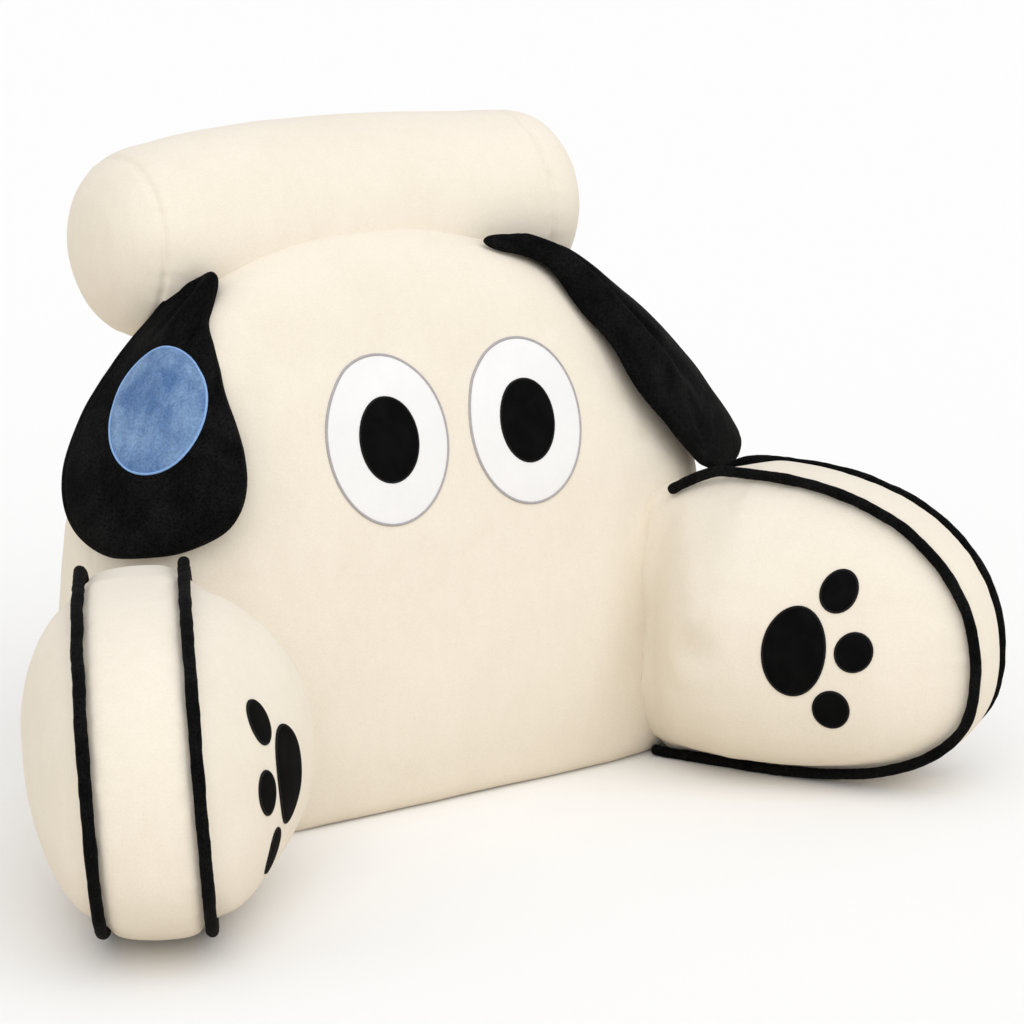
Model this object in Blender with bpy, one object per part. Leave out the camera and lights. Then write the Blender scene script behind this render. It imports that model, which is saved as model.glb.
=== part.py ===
"""Reading pillow with two arms, a neck roll and drop ears. Metres, +Z up, the sitter looks towards -Y.

Each filled piece is a closed surface worked out from its own sizes. The arms are cut back to the backrest, the
backrest is hollowed where the neck roll presses into it, and the sewn-on cloth pieces are laid on the surfaces
they belong to.
"""

import math

import bmesh
import bpy
from mathutils import Matrix, Vector
from mathutils.bvhtree import BVHTree

# ---------------------------------------------------------------- driving sizes
SEAM_GAP = 0.0004                # room left between two pieces that are sewn or lie together

# Backrest: level sections, floor to crown. front and rear are where the section meets the centre line in Y.
BACKREST_SECTIONS = [
    # height, centre, half_width, front, rear, squareness
    (0.000, 0.019, 0.240, 0.012, 0.236, 5.0),
    (0.010, 0.019, 0.251, 0.004, 0.248, 4.8),
    (0.035, 0.019, 0.259, -0.001, 0.256, 4.4),
    (0.080, 0.019, 0.263, -0.001, 0.258, 4.0),
    (0.130, 0.019, 0.264, 0.003, 0.254, 3.8),
    (0.190, 0.019, 0.263, 0.012, 0.246, 3.6),
    (0.240, 0.018, 0.257, 0.021, 0.234, 3.5),
    (0.290, 0.015, 0.241, 0.031, 0.220, 3.3),
    (0.335, 0.011, 0.214, 0.042, 0.205, 3.1),
    (0.375, 0.006, 0.180, 0.054, 0.189, 2.9),
    (0.405, 0.001, 0.142, 0.066, 0.174, 2.7),
    (0.427, -0.003, 0.098, 0.079, 0.158, 2.5),
    (0.441, -0.005, 0.055, 0.094, 0.142, 2.3),
]
CROWN_TOP = (-0.005, 0.118, 0.445)
RING_CROWDING = 0.9              # draws the rings towards the foot and the crown
BACKREST_RINGS = 22
BACKREST_AROUND = 48

# Arms. u runs from the root to the nose, v towards the sitter, w up.
ARM_SPLAY = math.radians(27.5)
ARM_ROOT = (0.240, 0.042)        # X and Y of the middle of the gusset at the root
ARM_LENGTH = 0.2870              # root to nose, along the piping
ARM_HEIGHT = 0.2435              # crest of the inner piping
OUTER_DROP = 0.005               # the outer piping's crest is this much lower
OUTER_SHORT = 0.006              # and its nose this much further back
ARM_BEHIND_ROOT = 0.085          # how far the filled arm reaches into the seam line
CREST_AT = 0.095                 # u of the highest point
NOSE_HEIGHT = 0.100              # height of the foremost point
ROOT_DIP = 0.034                 # how far the seam draws the top down behind the crest
DIP_FROM = 0.070                 # u where the dip starts, and the run over which it deepens
DIP_RUN = 0.090
TOP_SQUARENESS = 2.2
FOOT_SQUARENESS = 2.5
REAR_SQUARENESS = 4.0
GUSSET_WIDTH = 0.074
GUSSET_CROWN = 0.006
SEAM_VALLEY = 0.0080             # depth of the seam below the middle of the piping
SEAM_SHOULDER = 0.0085           # the gusset is up at the piping's middle this far from the seam
ARM_LEAN = 0.055                 # how far the arm tips outwards, per height
LEAN_ABOUT = 0.12
SOFTNESS_LOW = 0.46              # how squarely a panel swells near the floor
SOFTNESS_RISE = 0.22             # and how much rounder it is at the top
SOFTNESS_BAND = (0.06, 0.20)     # heights between which it changes
ARM_CROWNS = [
    # u, inner_crown, outer_crown
    (-0.085, 0.004, 0.004),
    (-0.030, 0.006, 0.008),
    (0.010, 0.011, 0.020),
    (0.045, 0.060, 0.038),
    (0.080, 0.084, 0.047),
    (0.120, 0.080, 0.050),
    (0.170, 0.065, 0.047),
    (0.220, 0.056, 0.042),
    (0.260, 0.041, 0.032),
    (0.290, 0.000, 0.000),
]
PANEL_MIDDLE = (0.105, 0.120)    # u and w of the point the panel's rings close in on
ARM_AROUND = 44
PANEL_RINGS = 6

# Neck roll
ROLL_CENTRE = (0.012, 0.190, 0.437)
ROLL_RADIUS = 0.0865
ROLL_HALF_LENGTH = 0.219
ROLL_BARREL = 0.11               # share by which the radius is less at the end seams
ROLL_ENDS = 0.052                # depth of the domed ends
ROLL_END_SQUARENESS = 0.85
ROLL_AROUND = 28
ROLL_END_RINGS = 5
ROLL_RINGS = 7

# Piping
PIPING_RADIUS = 0.0045
PIPING_SIDES = 6
PIPING_END_PASSES = 8            # halvings that bring its ends up to the backrest

# Ears, cut to one pattern. across points to the sitter's side of the ear.
EAR_THICKNESS = 0.009
EAR_RIM = 0.003
EAR_CLEARANCE = 0.0025
EAR_SINK = 0.003                 # the tip is pressed in this far and cut back to the backrest, where it is sewn
EAR_SEWN = 0.30                  # share of the length over which it comes clear
EAR_FOLD_RUN = 0.40              # share of the length over which the fold from the pinched tip dies away
EAR_DROOP = 0.012                # how far the free edges hang back
EAR_SHIFT = 0.018                # the tip sits this far towards the sitter from the middle of the ear
EAR_SHIFT_BY = 0.16              # share of the length by which the middle has been reached
EAR_EASE_PASSES = 4
EAR_TUCK = 0.9                   # the far edge is drawn in by this share at a time to clear the neck roll
EAR_PATTERN = [
    # share_of_length, half_width
    (0.00, 0.010),
    (0.06, 0.016),
    (0.14, 0.025),
    (0.27, 0.041),
    (0.45, 0.060),
    (0.62, 0.072),
    (0.77, 0.073),
    (0.88, 0.062),
    (0.95, 0.045),
    (1.00, 0.022),
]
EARS = [
    # name, tip, end, across, arch, fold
    ("left", (-0.143, 0.099, 0.411), (-0.233, 0.037, 0.224), (0.559, -0.829, 0.0), 0.006, 0.021),
    ("right", (0.103, 0.093, 0.424), (0.330, 0.060, 0.237), (-0.385, -0.878, -0.300), 0.015, 0.010),
]
EAR_COLUMNS = 8
EAR_ROWS = 13
EAR_ROW_CROWDING = 0.03

# Sewn-on ovals. Places on the face are X and Z, on an arm u and w, on the ear share and X of the pattern.
OVAL_TOP = 0.0023                # the top of a sewn-on piece above its host
PUPIL_TOP = 0.0044               # a pupil lies on an eye
EYE_MIDDLE = (0.029, 0.292)      # X and Z half-way between the eyes
EYE_OFFSET = 0.064
EYE_SIZE = (0.054, 0.064)        # half width and half height
PUPIL_SIZE = (0.026, 0.032)
PALM_SIZE = (0.0222, 0.0342)
TOE_SIZE = (0.0128, 0.0148)
PAW_PLACES = {"left": (0.168, 0.112), "right": (0.160, 0.123)}
TOES = [
    # along, up from the palm's middle
    (0.027, 0.046),
    (0.043, 0.001),
    (0.028, -0.045),
]
PATCH_SIZE = (0.039, 0.050)
PATCH_PLACE = (0.485, 0.000)
OVAL_RINGS = (0.36, 0.70, 1.0)
BIG_OVAL_SIDES = 20
OVAL_SIDES = 16
TOE_SIDES = 12
BLOCK_DEPTH = 0.004              # how far an uncut oval reaches into its host
EAR_BLOCK_DEPTH = 0.002
REACH = 0.2                      # how far off a surface is looked for

CREAM = (0.86, 0.78, 0.63, 1.0)
BLACK = (0.012, 0.012, 0.013, 1.0)
BLUE = (0.16, 0.27, 0.52, 1.0)
WHITE = (0.88, 0.88, 0.87, 1.0)


# ---------------------------------------------------------------- small tools
def power(value, exponent):
    """A signed power, for superellipses."""
    return math.copysign(abs(value) ** exponent, value)


def smoothstep(value):
    value = min(1.0, max(0.0, value))
    return value * value * (3.0 - 2.0 * value)


def catmull_rom(rows, column, key):
    """The named column of a table at key, on a smooth curve through the rows. Column 0 holds the keys."""
    last = len(rows) - 1
    i = 0
    while i < last - 1 and rows[i + 1][0] < key:
        i += 1
    k0, k1 = rows[i][0], rows[i + 1][0]
    t = (key - k0) / (k1 - k0)
    before = rows[max(i - 1, 0)]
    after = rows[min(i + 2, last)]
    p1, p2 = rows[i][column], rows[i + 1][column]
    slope1 = (p2 - before[column]) / (k1 - before[0]) * (k1 - k0)
    slope2 = (after[column] - p1) / (after[0] - k0) * (k1 - k0)
    return (
        (2 * t**3 - 3 * t**2 + 1) * p1
        + (t**3 - 2 * t**2 + t) * slope1
        + (3 * t**2 - 2 * t**3) * p2
        + (t**3 - t**2) * slope2
    )


def even_superellipse(half_width, half_depth, squareness, count):
    """Points of a superellipse at even steps along its edge."""
    fine = 40 * count
    edge = []
    for i in range(fine + 1):
        angle = 2 * math.pi * i / fine
        x = half_width * power(math.cos(angle), 2 / squareness)
        edge.append((x, half_depth * power(math.sin(angle), 2 / squareness)))
    run = [0.0]
    for (x0, y0), (x1, y1) in zip(edge, edge[1:]):
        run.append(run[-1] + math.hypot(x1 - x0, y1 - y0))
    chosen = []
    i = 0
    for step in range(count):
        while run[i] < run[-1] * step / count:
            i += 1
        chosen.append(edge[i])
    return chosen


def cloth_material(name, colour, roughness):
    material = bpy.data.materials.new(name)
    material.use_nodes = True
    shader = material.node_tree.nodes["Principled BSDF"]
    shader.inputs["Base Color"].default_value = colour
    shader.inputs["Roughness"].default_value = roughness
    shader.inputs["Metallic"].default_value = 0.0
    material.diffuse_color = colour
    return material


def solid(name, points, faces, material):
    """A named object from points and faces, shaded smooth."""
    mesh = bpy.data.meshes.new(name)
    mesh.from_pydata(points, [], faces)
    mesh.validate()
    obj = bpy.data.objects.new(name, mesh)
    bpy.context.scene.collection.objects.link(obj)
    mesh.materials.append(material)
    tidy = bmesh.new()
    tidy.from_mesh(mesh)
    bmesh.ops.triangulate(tidy, faces=tidy.faces)
    bmesh.ops.recalc_face_normals(tidy, faces=tidy.faces)
    tidy.to_mesh(mesh)
    tidy.free()
    mesh.shade_smooth()
    return obj


def rings_to_faces(ring_count, around):
    """Quads between rings of equal length, ring 0 first."""
    faces = []
    for ring in range(ring_count - 1):
        for i in range(around):
            j = (i + 1) % around
            a, b = ring * around, (ring + 1) * around
            faces.append((a + i, a + j, b + j, b + i))
    return faces


def fan(centre, first, around):
    """Triangles from one centre point to the ring that starts at first."""
    return [(centre, first + i, first + (i + 1) % around) for i in range(around)]


def grown_copy(obj):
    """A hidden copy, larger by the seam gap all round, for cutting a neighbour back."""
    mesh = obj.data.copy()
    for vertex in mesh.vertices:
        vertex.co += vertex.normal * SEAM_GAP
    cutter = bpy.data.objects.new(obj.name + "_cutter", mesh)
    bpy.context.scene.collection.objects.link(cutter)
    cutter.hide_render = True
    cutter.hide_viewport = True
    cutter.display_type = "WIRE"
    return cutter


def cut(obj, cutter):
    """Takes the cutter's space out of obj."""
    difference = obj.modifiers.new("cut_" + cutter.name, "BOOLEAN")
    difference.operation = "DIFFERENCE"
    difference.solver = "EXACT"
    difference.object = cutter


def surface_of(obj):
    """A tree of an uncut surface, for laying cloth on it and for finding where it is."""
    mesh = obj.data
    return BVHTree.FromPolygons([v.co for v in mesh.vertices], [tuple(p.vertices) for p in mesh.polygons])


def clearance(tree, point):
    """Distance from a point to a surface, negative inside."""
    nearest, normal, _, distance = tree.find_nearest(point)
    return distance if (point - nearest).dot(normal) > 0 else -distance


# ---------------------------------------------------------------- backrest
def backrest(material):
    points = []
    top = BACKREST_SECTIONS[-1][0]
    for ring in range(BACKREST_RINGS):
        share = ring / (BACKREST_RINGS - 1)
        height = top * (0.5 - 0.5 * math.cos(math.pi * share)) ** RING_CROWDING
        centre, half_width, front, rear, squareness = (
            catmull_rom(BACKREST_SECTIONS, column, height) for column in range(1, 6)
        )
        for across, deep in even_superellipse(half_width, (rear - front) / 2, squareness, BACKREST_AROUND):
            points.append((centre + across, (front + rear) / 2 + deep, height))
    faces = rings_to_faces(BACKREST_RINGS, BACKREST_AROUND)
    faces.append(tuple(range(BACKREST_AROUND)))
    points.append(CROWN_TOP)
    faces += fan(len(points) - 1, (BACKREST_RINGS - 1) * BACKREST_AROUND, BACKREST_AROUND)
    return solid("backrest", points, faces, material)


# ---------------------------------------------------------------- arms
def arm_outline(angle, inset, across):
    """(u, w) of the arm's side view, inset from the piping. angle 0 is the nose, a quarter turn the crest.

    across is 1 at the inner piping and -1 at the outer.
    """
    front = math.cos(angle) > 0
    over = math.sin(angle) > 0
    squareness = TOP_SQUARENESS if over else FOOT_SQUARENESS
    if not front:
        squareness = REAR_SQUARENESS
    outer = (1 - across) / 2
    reach = (ARM_LENGTH - OUTER_SHORT * outer - CREST_AT if front else CREST_AT + ARM_BEHIND_ROOT) - inset
    crest = ARM_HEIGHT - OUTER_DROP * outer
    rise = (crest - NOSE_HEIGHT if over else NOSE_HEIGHT - PIPING_RADIUS) - inset
    u = CREST_AT + reach * power(math.cos(angle), 2 / squareness)
    w = NOSE_HEIGHT + rise * power(math.sin(angle), 2 / squareness)
    if over:
        w -= ROOT_DIP * smoothstep((DIP_FROM - u) / DIP_RUN) * smoothstep(2 * math.sin(angle))
    return u, w


def arm_place(side, u, v, w):
    """A point of the arm's own axes in the part's frame. side is -1 on the viewer's left and 1 on the right."""
    v -= ARM_LEAN * (w - LEAN_ABOUT)
    x = ARM_ROOT[0] + math.sin(ARM_SPLAY) * u - math.cos(ARM_SPLAY) * v
    y = ARM_ROOT[1] - math.cos(ARM_SPLAY) * u - math.sin(ARM_SPLAY) * v
    return side * x, y, w


def arm_direction(side, u, v):
    """A level unit step in the arm's own axes."""
    return Vector(arm_place(side, u, v, 0.0)) - Vector(arm_place(side, 0.0, 0.0, 0.0))


def panel_bulge(column, u, w, reach):
    """How far a side panel stands out from the gusset's edge. reach is 1 at its seam and 0 at its middle."""
    u = min(max(u, ARM_CROWNS[0][0]), ARM_LENGTH)
    low, high = SOFTNESS_BAND
    softness = SOFTNESS_LOW + SOFTNESS_RISE * smoothstep((w - low) / (high - low))
    return max(catmull_rom(ARM_CROWNS, column, u), 0.0) * max(1 - reach**2, 0.0) ** softness


def arm(side, name, material):
    points = []
    angles = [2 * math.pi * i / ARM_AROUND for i in range(ARM_AROUND)]
    reaches = [math.sin(0.5 * math.pi * (k + 1) / PANEL_RINGS) for k in range(PANEL_RINGS)]
    half = GUSSET_WIDTH / 2
    middle_u, middle_w = PANEL_MIDDLE

    def panel_ring(reach, sign, column):
        for angle in angles:
            edge_u, edge_w = arm_outline(angle, SEAM_VALLEY, sign)
            u = middle_u + (edge_u - middle_u) * reach
            w = middle_w + (edge_w - middle_w) * reach
            v = sign * (half + panel_bulge(column, u, w, reach))
            points.append(arm_place(side, u, v, w))

    for reach in reaches:
        panel_ring(reach, 1, 1)
    shoulder = half - SEAM_SHOULDER
    for v in (shoulder, 0.5 * shoulder, 0.0, -0.5 * shoulder, -shoulder):
        swell = GUSSET_CROWN * (1 - (v / half) ** 2)
        for angle in angles:
            u, w = arm_outline(angle, 0.0, v / half)
            points.append(arm_place(side, u + swell * math.cos(angle), v, max(w + swell * math.sin(angle), 0.0)))
    for reach in reversed(reaches):
        panel_ring(reach, -1, 2)
    ring_count = 2 * PANEL_RINGS + 5
    faces = rings_to_faces(ring_count, ARM_AROUND)
    for sign, column, first in ((1, 1, 0), (-1, 2, (ring_count - 1) * ARM_AROUND)):
        bulge = panel_bulge(column, middle_u, middle_w, 0.0)
        points.append(arm_place(side, middle_u, sign * (half + bulge), middle_w))
        faces += fan(len(points) - 1, first, ARM_AROUND)
    return solid(name, points, faces, material)


# ---------------------------------------------------------------- neck roll
def bolster(material):
    straight = ROLL_HALF_LENGTH - ROLL_ENDS
    left_end = []
    for k in range(ROLL_END_RINGS):
        angle = 0.5 * math.pi * (k + 0.6) / ROLL_END_RINGS
        radius = (1 - ROLL_BARREL) * math.sin(angle) ** ROLL_END_SQUARENESS
        left_end.append((-straight - ROLL_ENDS * math.cos(angle), radius))
    stations = list(left_end)
    for k in range(ROLL_RINGS):
        share = 2 * k / (ROLL_RINGS - 1) - 1
        stations.append((straight * share, 1.0 - ROLL_BARREL * share**2))
    stations += [(-x, radius) for x, radius in reversed(left_end)]
    points = []
    for x, radius in stations:
        for i in range(ROLL_AROUND):
            angle = 2 * math.pi * i / ROLL_AROUND
            y = ROLL_RADIUS * radius * math.cos(angle)
            z = ROLL_RADIUS * radius * math.sin(angle)
            points.append(Vector(ROLL_CENTRE) + Vector((x, y, z)))
    faces = rings_to_faces(len(stations), ROLL_AROUND)
    for sign, first in ((-1, 0), (1, (len(stations) - 1) * ROLL_AROUND)):
        points.append(Vector(ROLL_CENTRE) + Vector((sign * ROLL_HALF_LENGTH, 0.0, 0.0)))
        faces += fan(len(points) - 1, first, ROLL_AROUND)
    return solid("bolster", points, faces, material)


# ---------------------------------------------------------------- piping
def piping(side, edge, name, back_tree, material):
    """A covered cord along one edge of the gusset, as far as it is clear of the backrest."""

    def is_clear(centre):
        return clearance(back_tree, centre) > PIPING_RADIUS + SEAM_GAP

    centres = []
    half_way = ARM_AROUND // 2
    for i in range(1 - half_way, half_way):
        u, w = arm_outline(2 * math.pi * i / ARM_AROUND, 0.0, edge)
        centres.append(Vector(arm_place(side, u, edge * GUSSET_WIDTH / 2, w)))
    first = next(i for i, centre in enumerate(centres) if is_clear(centre))
    last = next(i for i in reversed(range(len(centres))) if is_clear(centres[i]))
    ends = []
    for inside, outside in ((first, first - 1), (last, last + 1)):
        free, held = centres[inside], centres[outside]
        for _ in range(PIPING_END_PASSES):
            middle = (free + held) / 2
            if is_clear(middle):
                free = middle
            else:
                held = middle
        ends.append(free)
    centres = [ends[0]] + centres[first : last + 1] + [ends[1]]
    points = []
    across = arm_direction(side, 0.0, 1.0)
    for i, centre in enumerate(centres):
        ahead = centres[min(i + 1, len(centres) - 1)] - centres[max(i - 1, 0)]
        out = across.cross(ahead).normalized()
        for k in range(PIPING_SIDES):
            angle = 2 * math.pi * k / PIPING_SIDES
            points.append(centre + PIPING_RADIUS * (math.cos(angle) * across + math.sin(angle) * out))
    faces = rings_to_faces(len(centres), PIPING_SIDES)
    faces.append(tuple(range(PIPING_SIDES)))
    faces.append(tuple(range((len(centres) - 1) * PIPING_SIDES, len(centres) * PIPING_SIDES)))
    return solid(name, points, faces, material)


# ---------------------------------------------------------------- ears
def ear_frame(tip, end, across):
    """Unit steps down the ear, across it towards the sitter, and out of it."""
    down = (Vector(end) - Vector(tip)).normalized()
    sideways = Vector(across)
    sideways = (sideways - down * sideways.dot(down)).normalized()
    out = down.cross(sideways)
    if out.z < 0:
        out.negate()
    return down, sideways, out


def ear(name, tip, end, across, arch, fold, tree, roll_tree, material):
    """A thin padded piece laid over the shoulder of the backrest, hanging back where nothing holds it up."""

    def height_at(place):
        hit, _, _, distance = tree.ray_cast(place + out * REACH, -out, 2 * REACH)
        return REACH - distance + EAR_CLEARANCE if hit else -REACH

    down, sideways, out = ear_frame(tip, end, across)
    length = (Vector(end) - Vector(tip)).length
    flat = []
    lowest = []
    for row in range(EAR_ROWS):
        share = row / (EAR_ROWS - 1)
        share -= EAR_ROW_CROWDING * math.sin(2 * math.pi * share)
        near = catmull_rom(EAR_PATTERN, 1, share)
        middle = Vector(tip) + down * (length * share) - sideways * (EAR_SHIFT * smoothstep(share / EAR_SHIFT_BY))
        far = near
        edge = middle - sideways * far
        while clearance(roll_tree, edge + out * height_at(edge)) < EAR_THICKNESS:
            far *= EAR_TUCK
            edge = middle - sideways * far
        places = []
        heights = []
        for column in range(EAR_COLUMNS + 1):
            position = math.sin(0.5 * math.pi * (2 * column / EAR_COLUMNS - 1))
            place = middle + sideways * (position * (near if position > 0 else far))
            heights.append(height_at(place))
            places.append((place, position))
        crest = max(*heights[2:-2], 4 * arch * share * (1 - share))
        hang = [crest - EAR_DROOP * position**2 for _, position in places]
        lowest.append([max(pair) for pair in zip(heights, hang)])
        flat.append(places)
    drape = lowest
    for _ in range(EAR_EASE_PASSES):
        drape = [[max(pair) for pair in zip(*rows)] for rows in zip(smoothed(drape), lowest)]
    points = []
    for layer in (0, 1):
        for row, (places, heights) in enumerate(zip(flat, drape)):
            share = row / (EAR_ROWS - 1)
            held = 1 - smoothstep(share / EAR_SEWN)
            for (place, position), height in zip(places, heights):
                pressed = height_at(place) - EAR_CLEARANCE - EAR_SINK
                height += (pressed - height) * held
                height += fold * (1 - smoothstep(share / EAR_FOLD_RUN)) * (1 - position**2) ** 2
                full = EAR_RIM + (EAR_THICKNESS - EAR_RIM) * (1 - abs(position) ** 3)
                points.append(place + out * (height + layer * full))
    wide = EAR_COLUMNS + 1
    count = EAR_ROWS * wide
    faces = []
    for row in range(EAR_ROWS - 1):
        for column in range(EAR_COLUMNS):
            a = row * wide + column
            faces.append((a, a + 1, a + 1 + wide, a + wide))
            faces.append((count + a, count + a + wide, count + a + 1 + wide, count + a + 1))
    rim = list(range(wide))
    rim += [row * wide + EAR_COLUMNS for row in range(1, EAR_ROWS)]
    rim += [count - 1 - column for column in range(1, wide)]
    rim += [row * wide for row in range(EAR_ROWS - 2, 0, -1)]
    for a, b in zip(rim, rim[1:] + rim[:1]):
        faces.append((a, b, count + b, count + a))
    return solid(name, points, faces, material)


def smoothed(grid):
    """One pass of averaging over a grid of heights."""
    last = len(grid) - 1
    result = []
    for r, row in enumerate(grid):
        line = []
        for c, value in enumerate(row):
            near = [grid[max(r - 1, 0)][c], grid[min(r + 1, last)][c]]
            near += [row[max(c - 1, 0)], row[min(c + 1, len(row) - 1)]]
            line.append(0.5 * value + 0.125 * sum(near))
        result.append(line)
    return result


# ---------------------------------------------------------------- sewn-on ovals
def oval(name, middle, axes, size, tree, heights, sides, material):
    """A block with an oval edge that follows a host's surface, from heights[0] to heights[1] above it.

    axes are the two steps of the plane the oval is drawn in and the direction towards the host.
    """
    right, up, towards = axes
    points = []
    for lift in heights:
        for ring in OVAL_RINGS:
            for i in range(sides):
                angle = 2 * math.pi * i / sides
                across = right * (size[0] * ring * math.cos(angle)) + up * (size[1] * ring * math.sin(angle))
                points.append(on_surface(middle + across, towards, tree, lift))
        points.append(on_surface(middle, towards, tree, lift))
    block = len(OVAL_RINGS) * sides + 1
    faces = []
    for first in (0, block):
        faces += [tuple(first + i for i in face) for face in rings_to_faces(len(OVAL_RINGS), sides)]
        faces += fan(first + block - 1, first, sides)
    edge = block - 1 - sides
    for i in range(sides):
        j = (i + 1) % sides
        faces.append((edge + i, edge + j, block + edge + j, block + edge + i))
    return solid(name, points, faces, material)


def on_surface(place, towards, tree, lift):
    hit, normal, _, _ = tree.ray_cast(place - towards * REACH, towards, 2 * REACH)
    return hit + normal * lift


def eye(side, word, tree, back_cutter, white, black):
    """A white oval on the face with a black one on top of it."""
    middle = Vector((EYE_MIDDLE[0] + side * EYE_OFFSET, 0.0, EYE_MIDDLE[1]))
    axes = Vector((1, 0, 0)), Vector((0, 0, 1)), Vector((0, 1, 0))
    whole = (-BLOCK_DEPTH, OVAL_TOP)
    ground = oval("eye_" + word, middle, axes, EYE_SIZE, tree, whole, BIG_OVAL_SIDES, white)
    eye_cutter = grown_copy(ground)
    cut(ground, back_cutter)
    spot = oval("pupil_" + word, middle, axes, PUPIL_SIZE, tree, (0.0, PUPIL_TOP), OVAL_SIDES, black)
    cut(spot, eye_cutter)


def paw(side, word, tree, arm_cutter, black):
    """A palm and three toes on the inner side of an arm."""
    along, towards, up = arm_direction(side, 1.0, 0.0), arm_direction(side, 0.0, -1.0), Vector((0, 0, 1))
    u, w = PAW_PLACES[word]
    whole = (-BLOCK_DEPTH, OVAL_TOP)
    pads = [("palm", 0.0, 0.0, PALM_SIZE, OVAL_SIDES)]
    pads += [("toe_%d" % number, *offset, TOE_SIZE, TOE_SIDES) for number, offset in enumerate(TOES, start=1)]
    for pad, further, higher, size, sides in pads:
        middle = Vector(arm_place(side, u + further, 0.0, w + higher))
        one = oval(pad + "_" + word, middle, (along, up, towards), size, tree, whole, sides, black)
        cut(one, arm_cutter)


def ear_patch(host, tip, end, across, blue):
    down, sideways, out = ear_frame(tip, end, across)
    length = (Vector(end) - Vector(tip)).length
    share, shift = PATCH_PLACE
    middle = Vector(tip) + down * (length * share) + sideways * (shift - EAR_SHIFT)
    heights = (-EAR_BLOCK_DEPTH, OVAL_TOP)
    axes = sideways, down, -out
    one = oval("ear_patch", middle, axes, PATCH_SIZE, surface_of(host), heights, BIG_OVAL_SIDES, blue)
    cut(one, grown_copy(host))


# ---------------------------------------------------------------- placing
def centre_on_origin():
    """Moves everything so that the pieces stand on the floor around the origin."""
    corners = [v.co for obj in bpy.data.objects if not obj.hide_render for v in obj.data.vertices]
    middle_x = (min(c.x for c in corners) + max(c.x for c in corners)) / 2
    middle_y = (min(c.y for c in corners) + max(c.y for c in corners)) / 2
    for obj in bpy.data.objects:
        obj.data.transform(Matrix.Translation((-middle_x, -middle_y, 0.0)))


def main():
    for obj in list(bpy.data.objects):
        bpy.data.objects.remove(obj, do_unlink=True)
    cream = cloth_material("cream_plush", CREAM, 0.9)
    black = cloth_material("black_plush", BLACK, 0.85)
    blue = cloth_material("blue_plush", BLUE, 0.9)
    white = cloth_material("white_cloth", WHITE, 0.8)

    back = backrest(cream)
    back_tree = surface_of(back)
    back_cutter = grown_copy(back)
    roll = bolster(cream)
    roll_tree = surface_of(roll)
    cut(back, grown_copy(roll))
    for side, word in ((-1, "left"), (1, "right")):
        one = arm(side, "arm_" + word, cream)
        arm_tree = surface_of(one)
        arm_cutter = grown_copy(one)
        cut(one, back_cutter)
        for edge, edge_word in ((1, "inner"), (-1, "outer")):
            piping(side, edge, "piping_" + edge_word + "_" + word, back_tree, black)
        paw(side, word, arm_tree, arm_cutter, black)
        eye(side, word, back_tree, back_cutter, white, black)
    for name, tip, end, across, arch, fold in EARS:
        one = ear("ear_" + name, tip, end, across, arch, fold, back_tree, roll_tree, black)
        if name == "left":
            ear_patch(one, tip, end, across, blue)
        cut(one, back_cutter)
    centre_on_origin()


main()
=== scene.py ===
"""Dresses the reading pillow: plush covers, piping, drop ears and sewn-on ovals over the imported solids.

The file is laid out as a Blender add-on. Run as a script, it makes every piece, the stage and the camera.
"""

import math

import bmesh
import bpy
import numpy as np
from bpy.props import FloatProperty, FloatVectorProperty, IntProperty, PointerProperty
from mathutils import Matrix, Vector, noise
from mathutils.bvhtree import BVHTree
from mathutils.kdtree import KDTree


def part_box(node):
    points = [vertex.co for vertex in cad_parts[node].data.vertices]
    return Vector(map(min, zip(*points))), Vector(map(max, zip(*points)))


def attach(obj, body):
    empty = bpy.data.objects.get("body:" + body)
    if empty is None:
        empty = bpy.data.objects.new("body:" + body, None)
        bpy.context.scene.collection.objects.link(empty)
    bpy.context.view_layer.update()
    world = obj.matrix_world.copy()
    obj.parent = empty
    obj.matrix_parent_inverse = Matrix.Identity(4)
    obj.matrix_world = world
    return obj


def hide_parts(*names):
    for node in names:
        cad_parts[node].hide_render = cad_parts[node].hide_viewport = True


bl_info = {
    "name": "Reading pillow with arms",
    "version": (1, 0, 0),
    "blender": (4, 5, 0),
    "location": "View3D > Sidebar > Pillow",
    "description": "Makes the soft covers, piping, ears and sewn-on pieces of a reading pillow",
    "category": "Object",
}

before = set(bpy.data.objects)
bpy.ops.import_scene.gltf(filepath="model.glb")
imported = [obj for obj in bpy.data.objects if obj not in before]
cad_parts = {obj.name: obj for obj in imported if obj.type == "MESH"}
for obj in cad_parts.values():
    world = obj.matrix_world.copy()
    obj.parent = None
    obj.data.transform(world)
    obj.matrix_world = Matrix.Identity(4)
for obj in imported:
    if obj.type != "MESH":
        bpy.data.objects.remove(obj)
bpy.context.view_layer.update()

# ---------------------------------------------------------------- the arm's own axes, as in the part
# u runs from the root to the nose, v towards the sitter, w up.
ARM_SPLAY = math.radians(27.5)
ARM_ROOT = (0.240, 0.0211)       # X and Y of the middle of the gusset at the root
ARM_LENGTH = 0.2870
ARM_HEIGHT = 0.2435
OUTER_DROP = 0.005
OUTER_SHORT = 0.006
ARM_BEHIND_ROOT = 0.085
CREST_AT = 0.095
NOSE_HEIGHT = 0.100
ROOT_DIP = 0.034
DIP_FROM = 0.070
DIP_RUN = 0.090
TOP_SQUARENESS = 2.2
FOOT_SQUARENESS = 2.5
REAR_SQUARENESS = 4.0
GUSSET_WIDTH = 0.074
ARM_LEAN = 0.055
LEAN_ABOUT = 0.12

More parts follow.
